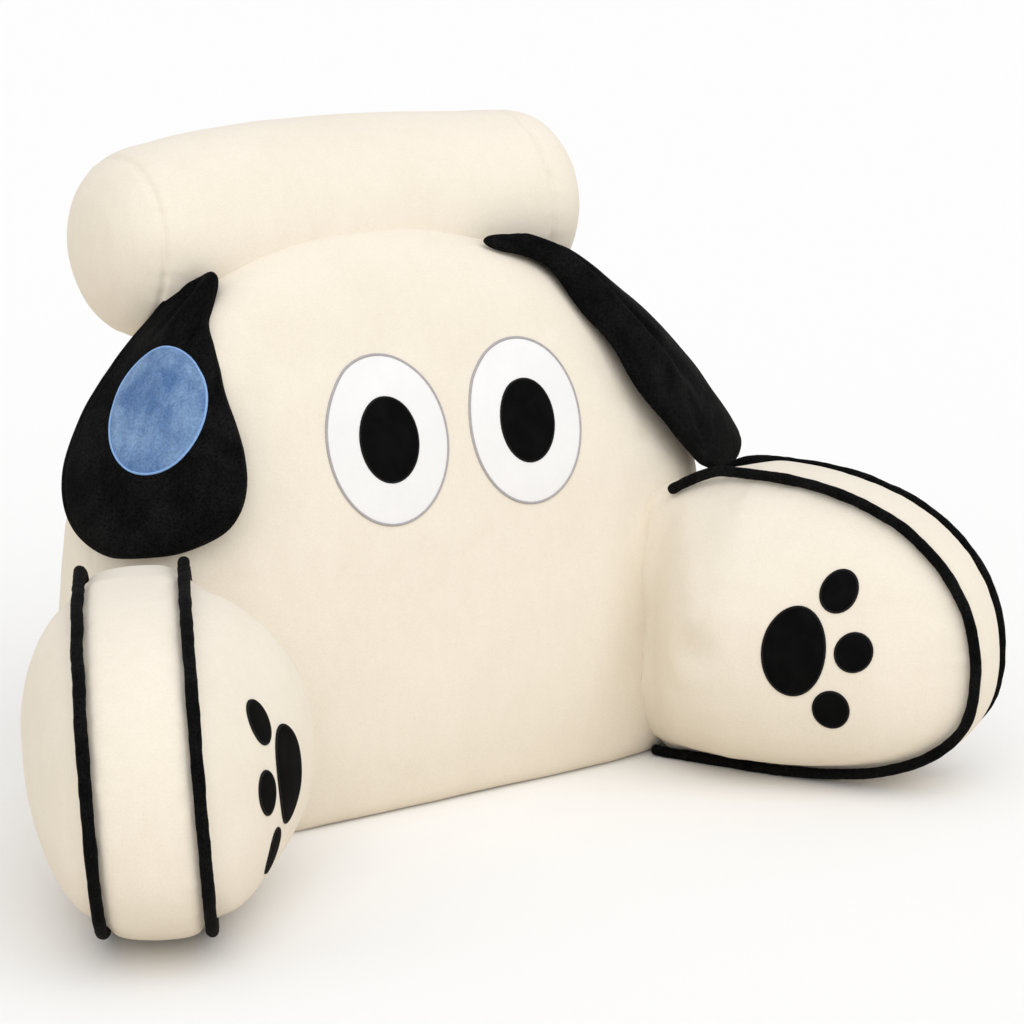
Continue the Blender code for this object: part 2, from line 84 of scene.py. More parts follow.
# ---------------------------------------------------------------- seams
SIDE_SEAM_Y = 0.098              # plane of the seam between the front and the back of the backrest
SIDE_FACING = 0.8                # a cover that faces front or back by more than this isn't at that seam
ROLL_SEAM_X = (-0.173, 0.179)    # planes of the seams round the neck roll's ends
ROLL_RADIUS = 0.08               # turns an angle round the roll into a length along its end seams
BACK_SEAM_AT = (0.06, -0.06)     # Y and Z of the roll's long seam, from its middle
SIDE_SEAM = {"width": 0.0035, "pucker": 0.0012, "seed": 1.0}
GUSSET_SEAM = {"depth": 0.0030, "width": 0.0050, "pucker": 0.0016}
ROOT_SEAM = {"depth": 0.0007, "width": 0.0025}
END_SEAM = {"depth": 0.0024, "width": 0.0020, "pucker": 0.0010, "wave": 0.014, "reach": 0.010, "seed": 9.0}
BACK_SEAM = {"depth": 0.0012, "width": 0.0030, "pucker": 0.0006, "seed": 10.0}

# ---------------------------------------------------------------- covers
BACKREST_COARSER = 1.3           # the backrest's mesh step, by that of the arms and the roll
TOUCHING = 0.0012                # a solid's points this close to a neighbour lie against it
UNDER_ROLL = 0.012               # how deep the backrest's cover is led under the roll
UNDER_BACKREST = 0.026           # and an arm's cover under the backrest
WELD = 0.00001
FACETS_EVENED = {"backrest": 30, "arm": 34, "roll": 26}      # passes
# Reach and passes of evening out a cover along its neighbour.
BY_ARMS = (0.04, 12)
BY_BACKREST = (0.05, 45)
BY_BACKREST_TUCKED = (0.03, 10)
CLEAR_OF_PIPING = 0.03           # closer to the piping than this the arm's cover is evened out less
CLEAR_OF_FLOOR = 0.04
TUCK_REACH = 0.018               # the arm's cover is led into the root seam from this far
TUCK_DEPTH = 0.022
# Unevenness of a hand-filled cover: how much, over what length, and where in the noise.
UNEVEN_BACKREST = (0.0009, 0.10, 3.0)
UNEVEN_ARM = {-1: (0.0006, 0.07, 10.0), 1: (0.0006, 0.07, 12.0)}
UNEVEN_ROLL = (0.0010, 0.09, 21.0)

# ---------------------------------------------------------------- filling
HELD_FLOOR = 0.012               # the backrest's cover is held up to this height
FLAT_FOOT = 0.003                # and an arm's up to this one
HELD_SEAM = 0.005                # a cover is held this close to a plain seam
HELD_PIPING = 0.006              # to a piped one
HELD_NEIGHBOUR = 0.006           # and to a neighbour
FREE_FROM = 0.05                 # further than this from a neighbour the filling moves it freely
STEADY_FROM = 0.04               # further than this from the arms the backrest is as uneven as elsewhere
SPARE_FADES = 0.02               # how far from a seam the spare cloth reaches
SEAM_KEPT = 0.012                # closer to a seam than this the filled cover isn't evened out
FILLED_PASSES = 3
DRAWN_IN = 0.0006                # the furthest that the filling lets a cover sink in

# ---------------------------------------------------------------- ears, as in the part
EARS = {
    # side: tip, end, across
    "left": ((-0.143, 0.0781, 0.411), (-0.233, 0.0161, 0.224), (0.559, -0.829, 0.0)),
    "right": ((0.103, 0.0721, 0.424), (0.330, 0.0391, 0.237), (-0.385, -0.878, -0.300)),
}

# ---------------------------------------------------------------- camera
CAMERA_AT = (-1.2139, -1.9045, 0.7746)
CAMERA_FORWARD = (0.54486, 0.80538, -0.23341)
CAMERA_ROLL = math.radians(0.145)
CAMERA_LENS = 105.67             # mm
SENSOR_WIDTH = 36.0


# ---------------------------------------------------------------- sizes and colours a user would change
class PillowSizes(bpy.types.PropertyGroup):
    """Sizes of the covers and their sewing."""

    voxel: FloatProperty(name="Cover mesh", description="Mesh step of the covers before they are refined",
                         default=0.005, min=0.003, max=0.02, unit="LENGTH")
    pressure: FloatProperty(name="Filling", description="Pressure that fills the covers",
                            default=4.0, min=0.0)
    swell: FloatProperty(name="Swell", description="Furthest that the filling moves the cover",
                         default=0.005, min=0.0, unit="LENGTH")
    frames: IntProperty(name="Frames", description="Steps of the filling", default=16, min=2, max=60)
    spare_cloth: FloatProperty(name="Spare cloth", description="Share by which cloth is cut larger at seams",
                               default=0.05, min=0.0, max=0.3)
    seam_depth: FloatProperty(name="Seam depth", description="How far a plain seam draws the cover in",
                              default=0.0022, min=0.0, unit="LENGTH")
    piping: FloatProperty(name="Piping radius", description="Radius of the covered cord",
                          default=0.0044, min=0.001, unit="LENGTH")
    lumps: FloatProperty(name="Piping lumps", description="Share by which the piping's thickness varies",
                         default=0.10, min=0.0, max=0.5)
    ear: FloatProperty(name="Ear thickness", description="Thickness of a filled ear",
                       default=0.011, min=0.002, unit="LENGTH")
    oval: FloatProperty(name="Sewn-on cloth", description="Height of a sewn-on piece above its ground",
                        default=0.0012, min=0.0003, unit="LENGTH")


def colour_property(name, description, default):
    return FloatVectorProperty(name=name, description=description, default=default, size=3,
                               subtype="COLOR", min=0.0, max=1.0)


class PillowColours(bpy.types.PropertyGroup):
    """Colours of the cloths and threads."""

    cream: colour_property("Cream plush", "Main colour of the covers", (0.85, 0.785, 0.68))
    cream_nap: colour_property("Cream nap", "The cream pile brushed the other way", (0.80, 0.73, 0.615))
    black: colour_property("Black plush", "Ears, piping, pupils and paw prints", (0.0032, 0.0032, 0.0034))
    black_nap: colour_property("Black nap", "The black pile brushed the other way", (0.009, 0.009, 0.0092))
    blue: colour_property("Blue plush", "The oval on the ear", (0.075, 0.155, 0.335))
    blue_nap: colour_property("Blue nap", "The blue pile brushed the other way", (0.20, 0.32, 0.52))
    white: colour_property("White cloth", "The eyes", (0.86, 0.86, 0.87))
    white_nap: colour_property("White nap", "The white cloth brushed the other way", (0.80, 0.80, 0.82))
    grey_thread: colour_property("Grey thread", "The stitched edge of the eyes", (0.43, 0.41, 0.42))
    black_thread: colour_property("Black thread", "The edge of pupils and paw prints", (0.006, 0.006, 0.0065))
    blue_thread: colour_property("Blue thread", "The stitched edge of the ear's oval", (0.24, 0.42, 0.75))


def sizes():
    return bpy.context.scene.pillow_sizes


def colours():
    return bpy.context.scene.pillow_colours


# ---------------------------------------------------------------- numbers
def power(value, exponent):
    """A power that keeps the sign."""
    return math.copysign(abs(value) ** exponent, value)


def smoothstep(value):
    """A soft step from 0 to 1."""
    value = min(1.0, max(0.0, value))
    return value * value * (3.0 - 2.0 * value)


def soft_noise(x, y=0.0, z=0.0):
    """Smooth noise from -1 to 1."""
    return noise.noise(Vector((x, y, z)))


def unit(vector):
    """The vector at length 1."""
    return np.asarray(vector, float) / np.linalg.norm(vector)


# ---------------------------------------------------------------- mesh tools
def points_of(mesh):
    flat = np.empty(len(mesh.vertices) * 3)
    mesh.vertices.foreach_get("co", flat)
    return flat.reshape(-1, 3)


def set_points(mesh, points):
    mesh.vertices.foreach_set("co", np.asarray(points, np.float32).ravel())
    mesh.update()


def normals_of(mesh):
    flat = np.empty(len(mesh.vertices) * 3)
    mesh.vertex_normals.foreach_get("vector", flat)
    return flat.reshape(-1, 3)


def edges_of(mesh):
    flat = np.empty(len(mesh.edges) * 2, int)
    mesh.edges.foreach_get("vertices", flat)
    return flat.reshape(-1, 2)


def surface_of(mesh):
    """A tree of a mesh, for laying cloth on it and measuring from it."""
    return BVHTree.FromPolygons([v.co for v in mesh.vertices], [tuple(p.vertices) for p in mesh.polygons])


def surface_of_solid(node):
    return surface_of(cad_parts[node].data)


def surface_of_piece(name):
    return surface_of(bpy.data.objects[name].data)


def tree_of(places):
    """A tree of places in space or in a plane, for finding the nearest of them."""
    tree = KDTree(len(places))
    for i, place in enumerate(places):
        tree.insert((*place, 0.0)[:3], i)
    tree.balance()
    return tree


def disc_faces(rings, steps):
    """Faces of a disc: point 0 is its middle, then come the rings from the inside to the edge."""
    faces = [(0, 1 + i, 1 + (i + 1) % steps) for i in range(steps)]
    for ring in range(rings - 1):
        a, b = 1 + ring * steps, 1 + (ring + 1) * steps
        faces += [(a + i, b + i, b + (i + 1) % steps, a + (i + 1) % steps) for i in range(steps)]
    return faces


def new_piece(name, points, faces, material):
    """A named, smoothly shaded mesh piece with its faces turned outwards."""
    mesh = bpy.data.meshes.new(name)
    mesh.from_pydata([tuple(p) for p in points], [], faces)
    mesh.validate()
    outwards = bmesh.new()
    outwards.from_mesh(mesh)
    bmesh.ops.recalc_face_normals(outwards, faces=outwards.faces)
    outwards.to_mesh(mesh)
    outwards.free()
    mesh.shade_smooth()
    mesh.materials.append(material)
    piece = bpy.data.objects.new(name, mesh)
    bpy.context.scene.collection.objects.link(piece)
    return piece


def keep_modified(piece):
    """Replaces a piece's mesh by what its modifiers make of it."""
    graph = bpy.context.evaluated_depsgraph_get()
    mesh = bpy.data.meshes.new_from_object(piece.evaluated_get(graph))
    piece.modifiers.clear()
    piece.data = mesh
    mesh.shade_smooth()


def around_average(points, edges):
    """The mean of each point's neighbours."""
    count = np.maximum(np.bincount(edges.ravel(), minlength=len(points)), 1)
    mean = np.empty_like(points)
    for axis in range(3):
        total = np.bincount(edges[:, 0], points[edges[:, 1], axis], len(points))
        total += np.bincount(edges[:, 1], points[edges[:, 0], axis], len(points))
        mean[:, axis] = total / count
    return mean


def relaxed(points, edges, passes):
    """Evens out facets and keeps the volume: after each smoothing comes a slightly larger step back."""
    for _ in range(passes):
        for factor in (0.5, -0.52):
            points = points + factor * (around_average(points, edges) - points)
    return points


def distances(tree, points):
    """Distance of each point to a surface."""
    return np.array([tree.find_nearest(Vector(p))[3] for p in points])


def run_of(line):
    """How far along a line each of its points is."""
    return np.concatenate([[0.0], np.cumsum(np.linalg.norm(np.diff(line, axis=0), axis=1))])


def placed_along(line, run, places):
    """The points of a line at the given lengths along it."""
    return np.stack([np.interp(places, run, line[:, axis]) for axis in range(line.shape[1])], axis=1)


# ---------------------------------------------------------------- the arm's outline, as in the part
def arm_outline(angle, across):
    """(u, w) of the arm's side view. Angle 0 is the nose; across is 1 at the inner edge, -1 at the outer."""
    front = math.cos(angle) > 0
    over = math.sin(angle) > 0
    squareness = TOP_SQUARENESS if over else FOOT_SQUARENESS
    if not front:
        squareness = REAR_SQUARENESS
    outer = (1 - across) / 2
    reach = ARM_LENGTH - OUTER_SHORT * outer - CREST_AT if front else CREST_AT + ARM_BEHIND_ROOT
    crest = ARM_HEIGHT - OUTER_DROP * outer
    rise = crest - NOSE_HEIGHT if over else NOSE_HEIGHT - sizes().piping
    u = CREST_AT + reach * power(math.cos(angle), 2 / squareness)
    w = NOSE_HEIGHT + rise * power(math.sin(angle), 2 / squareness)
    if over:
        w -= ROOT_DIP * smoothstep((DIP_FROM - u) / DIP_RUN) * smoothstep(2 * math.sin(angle))
    return u, w


def arm_place(side, u, v, w):
    """X, Y and Z of a place on an arm's own axes. Side is 1 for the right arm and -1 for the left."""
    v -= ARM_LEAN * (w - LEAN_ABOUT)
    x = ARM_ROOT[0] + math.sin(ARM_SPLAY) * u - math.cos(ARM_SPLAY) * v
    y = ARM_ROOT[1] - math.cos(ARM_SPLAY) * u - math.sin(ARM_SPLAY) * v
    return side * x, y, w


def arm_direction(side, u, v):
    """A level direction on an arm's own axes."""
    return np.array(arm_place(side, u, v, 0.0)) - np.array(arm_place(side, 0.0, 0.0, 0.0))


PATH_TURNS = 700
PATH_STEP = 0.0015
PATH_ENDS = 0.98                 # share of the whole turn that the piping's line is worked out for


def gusset_edge(side, edge):
    """The line of the piping at one edge of an arm's gusset, from the foot round the nose to the root."""
    line = []
    for i in range(PATH_TURNS + 1):
        angle = math.pi * (2 * i / PATH_TURNS - 1) * PATH_ENDS
        u, w = arm_outline(angle, edge)
        line.append(arm_place(side, u, edge * GUSSET_WIDTH / 2, w))
    line = np.array(line)
    run = run_of(line)
    return placed_along(line, run, np.linspace(0.0, run[-1], int(round(run[-1] / PATH_STEP)) + 1))


# ---------------------------------------------------------------- shaping
# Where the filling pushes the covers further than in the plain solids: middle, reach, shift.
HAND_SHAPING = [
    ((0.160, 0.060, 0.405), 0.065, (0.004, -0.002, 0.0090)),
    ((-0.140, 0.060, 0.400), 0.045, (-0.001, -0.001, 0.0040)),
    ((0.210, 0.165, 0.500), 0.070, (0.0045, 0.000, 0.0050)),
    ((-0.190, 0.165, 0.500), 0.060, (0.0015, 0.000, -0.0060)),
    ((0.288, 0.085, 0.225), 0.100, (0.0330, 0.004, 0.0020)),
]
EAR_SHAPING = HAND_SHAPING[:3]   # the right ear goes along with what it lies on
ARM_SHAPING = [
    # the crest of the left arm and its piping hang a little lower
    ((-0.290, -0.070, 0.250), 0.070, (0.000, 0.000, -0.0090)),
]


def shaped_by_hand(points, places):
    """Pushes points about a little, most at the middle of each place."""
    points = np.array(points, float)
    moved = points.copy()
    for middle, reach, shift in places:
        away = np.linalg.norm(points - np.array(middle), axis=1) / reach
        moved += np.exp(-(away**2))[:, None] * np.array(shift)
    return moved


# ---------------------------------------------------------------- stuffed covers
def bury(points, node, depth):
    """Pushes what lies against a neighbouring solid into it, so that the two covers meet in a crease."""
    tree = surface_of_solid(node)
    moved = points.copy()
    for i, point in enumerate(points):
        _, normal, _, distance = tree.find_nearest(Vector(point))
        if distance < TOUCHING:
            moved[i] -= depth * np.array(normal)
    return moved


def cover_of(node, name, material, voxel, neighbour=None, depth=0.0):
    """An evenly meshed copy of a filled solid, led under a neighbour where it lies against one."""
    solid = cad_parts[node].data
    faces = [tuple(p.vertices) for p in solid.polygons]
    points = points_of(solid)
    if neighbour:
        points = bury(points, neighbour, depth)
    piece = new_piece(name, points, faces, material)
    weld = piece.modifiers.new("weld", "WELD")
    weld.merge_threshold = WELD
    even = piece.modifiers.new("even", "REMESH")
    even.mode = "VOXEL"
    even.voxel_size = voxel
    keep_modified(piece)
    return piece


def clear_of(distance, reach):
    """0 at a neighbour and 1 further than the reach from it."""
    share = np.clip(distance / reach, 0.0, 1.0)
    return share * share * (3 - 2 * share)


def smoothed_near(points, edges, distance, reach, passes, free=1.0):
    """Evens out the part of a cover that is close to a neighbour, above the floor."""
    share = 0.5 * (1 - clear_of(distance, reach)) * clear_of(points[:, 2], CLEAR_OF_FLOOR) * free
    for _ in range(passes):
        points = points + share[:, None] * (around_average(points, edges) - points)
    return points


def tucked_in(points, tree):
    """Leads the edge of a cover that lies along its neighbour into the seam, under that one's surface."""
    moved = points.copy()
    for i, place in enumerate(moved):
        nearest, normal, _, distance = tree.find_nearest(Vector(place))
        above = (Vector(place) - nearest).dot(normal)
        if distance < TUCK_REACH and above > -TUCK_REACH:
            share = 1 - max(above, 0.0) / TUCK_REACH
            moved[i] -= TUCK_DEPTH * share * share * np.array(normal)
    return moved


def fill(piece, seam_distance, held, free):
    """Fills a cover by cloth simulation. Held at its seams, it swells between them, most where free."""
    mesh = piece.data
    start = points_of(mesh)
    outwards = normals_of(mesh)
    sewn = piece.vertex_groups.new(name="sewn")
    sewn.add([int(i) for i in np.flatnonzero(held)], 1.0, "REPLACE")
    spare = piece.vertex_groups.new(name="spare")
    share = np.exp(-seam_distance / SPARE_FADES)
    for level in (0.25, 0.5, 0.75, 1.0):
        chosen = np.flatnonzero((share > level - 0.25) & (share <= level))
        spare.add([int(i) for i in chosen], level, "REPLACE")
    cloth = piece.modifiers.new("cover", "CLOTH")
    settings = cloth.settings
    settings.quality = 4
    settings.mass = 0.25
    settings.tension_stiffness = 12
    settings.compression_stiffness = 12
    settings.shear_stiffness = 4
    settings.bending_stiffness = 0.3
    settings.use_pressure = True
    settings.uniform_pressure_force = sizes().pressure
    settings.effector_weights.gravity = 0.0
    settings.vertex_group_mass = "sewn"
    settings.vertex_group_shrink = "spare"
    settings.shrink_min = 0.0
    settings.shrink_max = -sizes().spare_cloth
    cloth.collision_settings.use_collision = False
    cloth.point_cache.frame_start = 1
    cloth.point_cache.frame_end = sizes().frames
    for number in range(1, sizes().frames + 1):
        bpy.context.scene.frame_set(number)
    keep_modified(piece)
    bpy.context.scene.frame_set(1)
    piece.vertex_groups.clear()
    shift = points_of(piece.data) - start
    pulled_in = np.minimum((shift * outwards).sum(axis=1, keepdims=True) + DRAWN_IN, 0.0)
    shift -= pulled_in * outwards
    length = np.maximum(np.linalg.norm(shift, axis=1, keepdims=True), 1e-9)
    cap = sizes().swell
    settled = start + shift * (cap * np.tanh(length / cap) / length) * free[:, None]
    eased = relaxed(settled, edges_of(piece.data), FILLED_PASSES)
    set_points(piece.data, np.where((seam_distance < SEAM_KEPT)[:, None], settled, eased))


def refine(piece):
    """Halves the mesh step of a cover."""
    finer = piece.modifiers.new("finer", "SUBSURF")
    finer.levels = 1
    finer.render_levels = 1
    keep_modified(piece)


def seam_path_distance(points, paths):
    """Distance of each point to the nearest of several lines, and how far along the lines that is."""
    tree = tree_of(np.concatenate(paths))
    found = [tree.find(Vector(p)) for p in points]
    return np.array([f[2] for f in found]), np.array([f[1] for f in found]) * PATH_STEP


CREASE_CHANGES = 0.09            # over this length along a seam its creases get stronger or weaker


def draw_in(points, normals, distance, along, depth, width, pucker=0.0, wave=0.017, reach=0.018, seed=0.0):
    """Draws a cover in along a seam, with short creases that run off it."""
    near = distance < 4 * max(width, reach)
    shift = np.zeros(len(points))
    shift[near] = -depth * np.exp(-((distance[near] / width) ** 2))
    if pucker:
        for i in np.flatnonzero(near):
            beat = soft_noise(along[i] / wave, seed) + 0.5 * soft_noise(along[i] / (0.45 * wave), seed + 7.0)
            strength = 0.6 + 0.8 * soft_noise(along[i] / CREASE_CHANGES, seed + 3.0)
            shift[i] += pucker * beat * strength * math.exp(-distance[i] / reach)
    return points + normals * shift[:, None]


def ease(points, normals, amount, size, seed, free=1.0):
    """The slight unevenness of a hand-filled cover."""
    shift = [soft_noise(*(p / size + seed)) + 0.4 * soft_noise(*(p / (0.4 * size) + seed)) for p in points]
    return points + normals * (free * amount * np.array(shift))[:, None]


def rest_on_floor(points):
    """Nothing is lower than the surface the pillow stands on."""
    points[:, 2] = np.maximum(points[:, 2], 0.0)
    return points


def ride_as(piece, nodes):
    """Makes a piece ride with the pillow and hides the solids it stands for."""
    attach(piece, "root")
    if nodes:
        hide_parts(*nodes)


def make_backrest():
    """The filled backrest, drawn in at its side seam and where the arms are sewn on."""
    voxel = sizes().voxel * BACKREST_COARSER
    piece = cover_of("backrest", "backrest_cover", material_cream(), voxel, "bolster", UNDER_ROLL)
    mesh = piece.data
    edges = edges_of(mesh)
    roll = surface_of_solid("bolster")
    arms = [surface_of_solid(node) for node in ("arm_left", "arm_right")]

    def from_arms(places):
        return np.minimum(*[distances(tree, places) for tree in arms])

    points = relaxed(points_of(mesh), edges, FACETS_EVENED["backrest"])
    points = smoothed_near(points, edges, from_arms(points), *BY_ARMS)
    points = shaped_by_hand(points, HAND_SHAPING)
    set_points(mesh, rest_on_floor(points))
    seam = np.abs(points[:, 1] - SIDE_SEAM_Y)
    held = (points[:, 2] < HELD_FLOOR) | (seam < HELD_SEAM) | (distances(roll, points) < HELD_NEIGHBOUR)
    fill(piece, seam, held, clear_of(from_arms(points), FREE_FROM))
    refine(piece)
    mesh = piece.data
    points, normals = points_of(mesh), normals_of(mesh)
    root = from_arms(points)
    points = ease(points, normals, *UNEVEN_BACKREST, clear_of(root, STEADY_FROM))
    seam = np.where(np.abs(normals[:, 1]) < SIDE_FACING, np.abs(points[:, 1] - SIDE_SEAM_Y), 1.0)
    around = points[:, 2] + np.abs(points[:, 0])
    points = draw_in(points, normals, seam, around, sizes().seam_depth, **SIDE_SEAM)
    points = draw_in(points, normals, root, points[:, 2], **ROOT_SEAM)
    set_points(mesh, rest_on_floor(points))
    ride_as(piece, ["backrest"])


def make_arm(side, word):
    """A filled arm, drawn in under its piping and sewn to the backrest."""
    cream = material_cream()
    piece = cover_of("arm_" + word, "arm_%s_cover" % word, cream, sizes().voxel, "backrest", UNDER_BACKREST)
    mesh = piece.data
    edges = edges_of(mesh)
    backrest = surface_of_solid("backrest")
    points = relaxed(points_of(mesh), edges, FACETS_EVENED["arm"])
    paths = [gusset_edge(side, edge) for edge in (1, -1)]
    off_seam = clear_of(seam_path_distance(points, paths)[0], CLEAR_OF_PIPING)
    points = smoothed_near(points, edges, distances(backrest, points), *BY_BACKREST, off_seam)
    set_points(mesh, rest_on_floor(points))
    seam, _ = seam_path_distance(points, paths)
    root = distances(backrest, points)
    held = (seam < HELD_PIPING) | (points[:, 2] < FLAT_FOOT) | (root < HELD_NEIGHBOUR)
    fill(piece, seam, held, clear_of(root, FREE_FROM))
    refine(piece)
    mesh = piece.data
    tucked = tucked_in(points_of(mesh), backrest)
    root = distances(backrest, tucked)
    set_points(mesh, smoothed_near(tucked, edges_of(mesh), root, *BY_BACKREST_TUCKED))
    points, normals = points_of(mesh), normals_of(mesh)
    root = distances(backrest, points)
    points = ease(points, normals, *UNEVEN_ARM[side], clear_of(root, FREE_FROM))
    seam, along = seam_path_distance(points, paths)
    points = draw_in(points, normals, seam, along, **GUSSET_SEAM, seed=5.0 + side)
    points = draw_in(points, normals, root, points[:, 2], **ROOT_SEAM)
    points = shaped_by_hand(points, ARM_SHAPING)
    set_points(mesh, rest_on_floor(points))
    ride_as(piece, ["arm_" + word])


def make_roll():
    """The neck roll, with a seam round each end and a long one at the back."""
    piece = cover_of("bolster", "roll_cover", material_cream(), sizes().voxel)
    mesh = piece.data
    points = relaxed(points_of(mesh), edges_of(mesh), FACETS_EVENED["roll"])
    points = shaped_by_hand(points, HAND_SHAPING)
    set_points(mesh, points)
    low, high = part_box("bolster")
    middle = (np.array(low) + np.array(high)) / 2
    planes = np.array(ROLL_SEAM_X)

    def end_seams(places):
        apart = np.abs(places[:, :1] - planes).min(axis=1)
        turn = np.arctan2(places[:, 2] - middle[2], places[:, 1] - middle[1]) * ROLL_RADIUS
        return apart, turn

    seam, _ = end_seams(points)
    fill(piece, seam, seam < HELD_SEAM, np.ones(len(points)))
    refine(piece)
    mesh = piece.data
    points, normals = points_of(mesh), normals_of(mesh)
    points = ease(points, normals, *UNEVEN_ROLL)
    seam, along = end_seams(points)
    points = draw_in(points, normals, seam, along, **END_SEAM)
    y, z = points[:, 1] - middle[1] - BACK_SEAM_AT[0], points[:, 2] - middle[2] - BACK_SEAM_AT[1]
    points = draw_in(points, normals, np.hypot(y, z), points[:, 0], **BACK_SEAM)
    set_points(mesh, points)
    ride_as(piece, ["bolster"])


# ---------------------------------------------------------------- piping
PIPING_SIDES = 14
PIPING_BURIED = 0.004            # deeper than this in the backrest the cord is left out
LUMP_LENGTHS = (0.016, 0.006)    # over these lengths its thickness changes
DRIFT = 0.0006                   # how far it strays from its line
DRIFT_LENGTH = 0.03
RIPPLE = 0.05                    # share by which it isn't round
RIPPLE_LENGTH = 0.008
END_THINNEST = 0.02              # the rounded ends close at this share of its thickness
PIPING_TUCKED = {                # steps that are missing where each end is tucked in, foot and top
    "left": {"inner": (0, 5), "outer": (0, 9)},
    "right": {"inner": (5, 18), "outer": (0, 0)},
}


def tube(name, line, radius, material, seed):
    """A covered cord along a line, a little lumpy, with rounded ends."""
    points = []
    count = len(line)
    ahead = np.gradient(line, axis=0)
    ahead /= np.linalg.norm(ahead, axis=1, keepdims=True)
    side = unit(np.cross(ahead[0], (0.3, 0.2, 1.0)))
    run = run_of(line)
    long_lump, short_lump = LUMP_LENGTHS
    for i in range(count):
        side = unit(side - ahead[i] * side.dot(ahead[i]))
        out = np.cross(ahead[i], side)
        from_end = min(run[i], run[-1] - run[i])
        cap = math.sqrt(max(0.0, 1 - (1 - min(1.0, from_end / radius)) ** 2))
        lump = soft_noise(run[i] / long_lump, seed) + 0.5 * soft_noise(run[i] / short_lump, seed)
        here = radius * max(cap, END_THINNEST) * (1 + sizes().lumps * lump)
        drift = DRIFT * soft_noise(run[i] / DRIFT_LENGTH, seed + 5) * side
        drift = drift + DRIFT * soft_noise(run[i] / DRIFT_LENGTH, seed + 9) * out
        for k in range(PIPING_SIDES):
            angle = 2 * math.pi * k / PIPING_SIDES
            ripple = 1 + RIPPLE * soft_noise(run[i] / RIPPLE_LENGTH, math.cos(angle), math.sin(angle) + seed)
            points.append(line[i] + drift + here * ripple * (math.cos(angle) * side + math.sin(angle) * out))
    faces = []
    for i in range(count - 1):
        for k in range(PIPING_SIDES):
            j = (k + 1) % PIPING_SIDES
            a, b = i * PIPING_SIDES, (i + 1) * PIPING_SIDES
            faces.append((a + k, a + j, b + j, b + k))
    faces.append(tuple(reversed(range(PIPING_SIDES))))
    faces.append(tuple(range((count - 1) * PIPING_SIDES, count * PIPING_SIDES)))
    return new_piece(name, rest_on_floor(shaped_by_hand(points, ARM_SHAPING)), faces, material)


def make_piping():
    """Two runs of piping for each arm, one along each edge of its gusset."""
    black = material_black()
    backrest = surface_of_solid("backrest")
    for side, word in ((-1, "left"), (1, "right")):
        for edge, edge_word in ((1, "inner"), (-1, "outer")):
            line = gusset_edge(side, edge)
            outside = [i for i, p in enumerate(line) if not is_inside(backrest, p, PIPING_BURIED)]
            foot, top = PIPING_TUCKED[word][edge_word]
            line = line[outside[0] + foot:outside[-1] + 1 - top]
            piece = tube("%s_%s_piping" % (edge_word, word), line, sizes().piping, black, side * 3.0 + edge)
            ride_as(piece, ["piping_%s_%s" % (edge_word, word)])


def is_inside(tree, place, deeper_than):
    """Whether a place is further than this below a surface."""
    nearest, normal, _, distance = tree.find_nearest(Vector(place))
    return (Vector(place) - nearest).dot(normal) < 0 and distance > deeper_than


# ---------------------------------------------------------------- ears
def ear_axes(side):
    """Tip, length, and unit steps down the ear, across it towards the sitter, and out of it."""
    tip, end, across = (np.array(v) for v in EARS[side])
    down = unit(end - tip)
    sideways = unit(across - down * across.dot(down))
    out = np.cross(down, sideways)
    if out[2] < 0:
        out = -out
    return tip, np.linalg.norm(end - tip), down, sideways, out


def sliced(points, edges, place, direction, sideways):
    """Furthest places to either side where a solid is cut by a plane."""
    height = (points - place) @ direction
    a, b = edges[:, 0], edges[:, 1]
    crossing = height[a] * height[b] < 0
    a, b = a[crossing], b[crossing]
    share = height[a] / (height[a] - height[b])
    cut = points[a] + (points[b] - points[a]) * share[:, None]
    across = (cut - place) @ sideways
    return across.min(), across.max()


EAR_SLICES = 40
EAR_OUTLINE = 220
EAR_RINGS = 34
EAR_ROUNDING = 15                # passes that round the outline
EAR_RIM = 0.008                  # over this width the ear thins to its edge
EAR_STITCH = 0.0045              # the stitched line is this far from the edge
STITCH_DEPTH = 0.0011
STITCH_WIDTH = 0.0012
EAR_WAVE = 0.0010                # unevenness of the upper side, and its length
WAVE_LENGTH = 0.03
EAR_MIDDLE = 0.62                # the mesh's rings close round this share of the ear's length
EAR_EVENED = 60                  # passes that even out how it lies
LIFT_SEWN = 0.25                 # at least this share of its thickness is above the covers at the sewn end
LIFT_MORE = 0.40                 # and this share more where it hangs
SEWN_FROM = -0.016               # the place down the ear where its sewn end starts
SEWN_RUN = 0.060                 # and the length over which it gets as thick as the rest
EDGE_THICKNESS = 0.30            # of the full thickness, at the rim
LAST_RING = 0.75                 # and by this again at the edge itself
SEWN_THICKNESS = 0.35            # of the full thickness, at the right ear's sewn end
LOOK_FROM = {"ear": 0.10, "covers": 0.06}        # heights above the ear's plane that rays start from
LOOK_DEPTH = {"ear": 0.20, "covers": 0.09}       # and how far they look down
NOT_OVER = -1.0                  # stands for the height of a cover that isn't under a place

EAR_PATTERNS = {
    # side: rows of down, near edge and far edge. The near edge is the sitter's side.
    "left": [
        (-0.0125, 0.003, -0.003),
        (-0.0075, 0.006, -0.016),
        (0.004, 0.0045, -0.034),
        (0.018, 0.002, -0.048),
        (0.031, 0.003, -0.058),
        (0.041, 0.009, -0.063),
        (0.060, 0.017, -0.072),
        (0.082, 0.027, -0.081),
        (0.102, 0.039, -0.089),
        (0.125, 0.051, -0.094),
        (0.148, 0.058, -0.097),
        (0.168, 0.058, -0.094),
        (0.186, 0.050, -0.086),
        (0.200, 0.031, -0.074),
        (0.210, 0.010, -0.058),
        (0.2165, -0.015, -0.036),
    ],
}
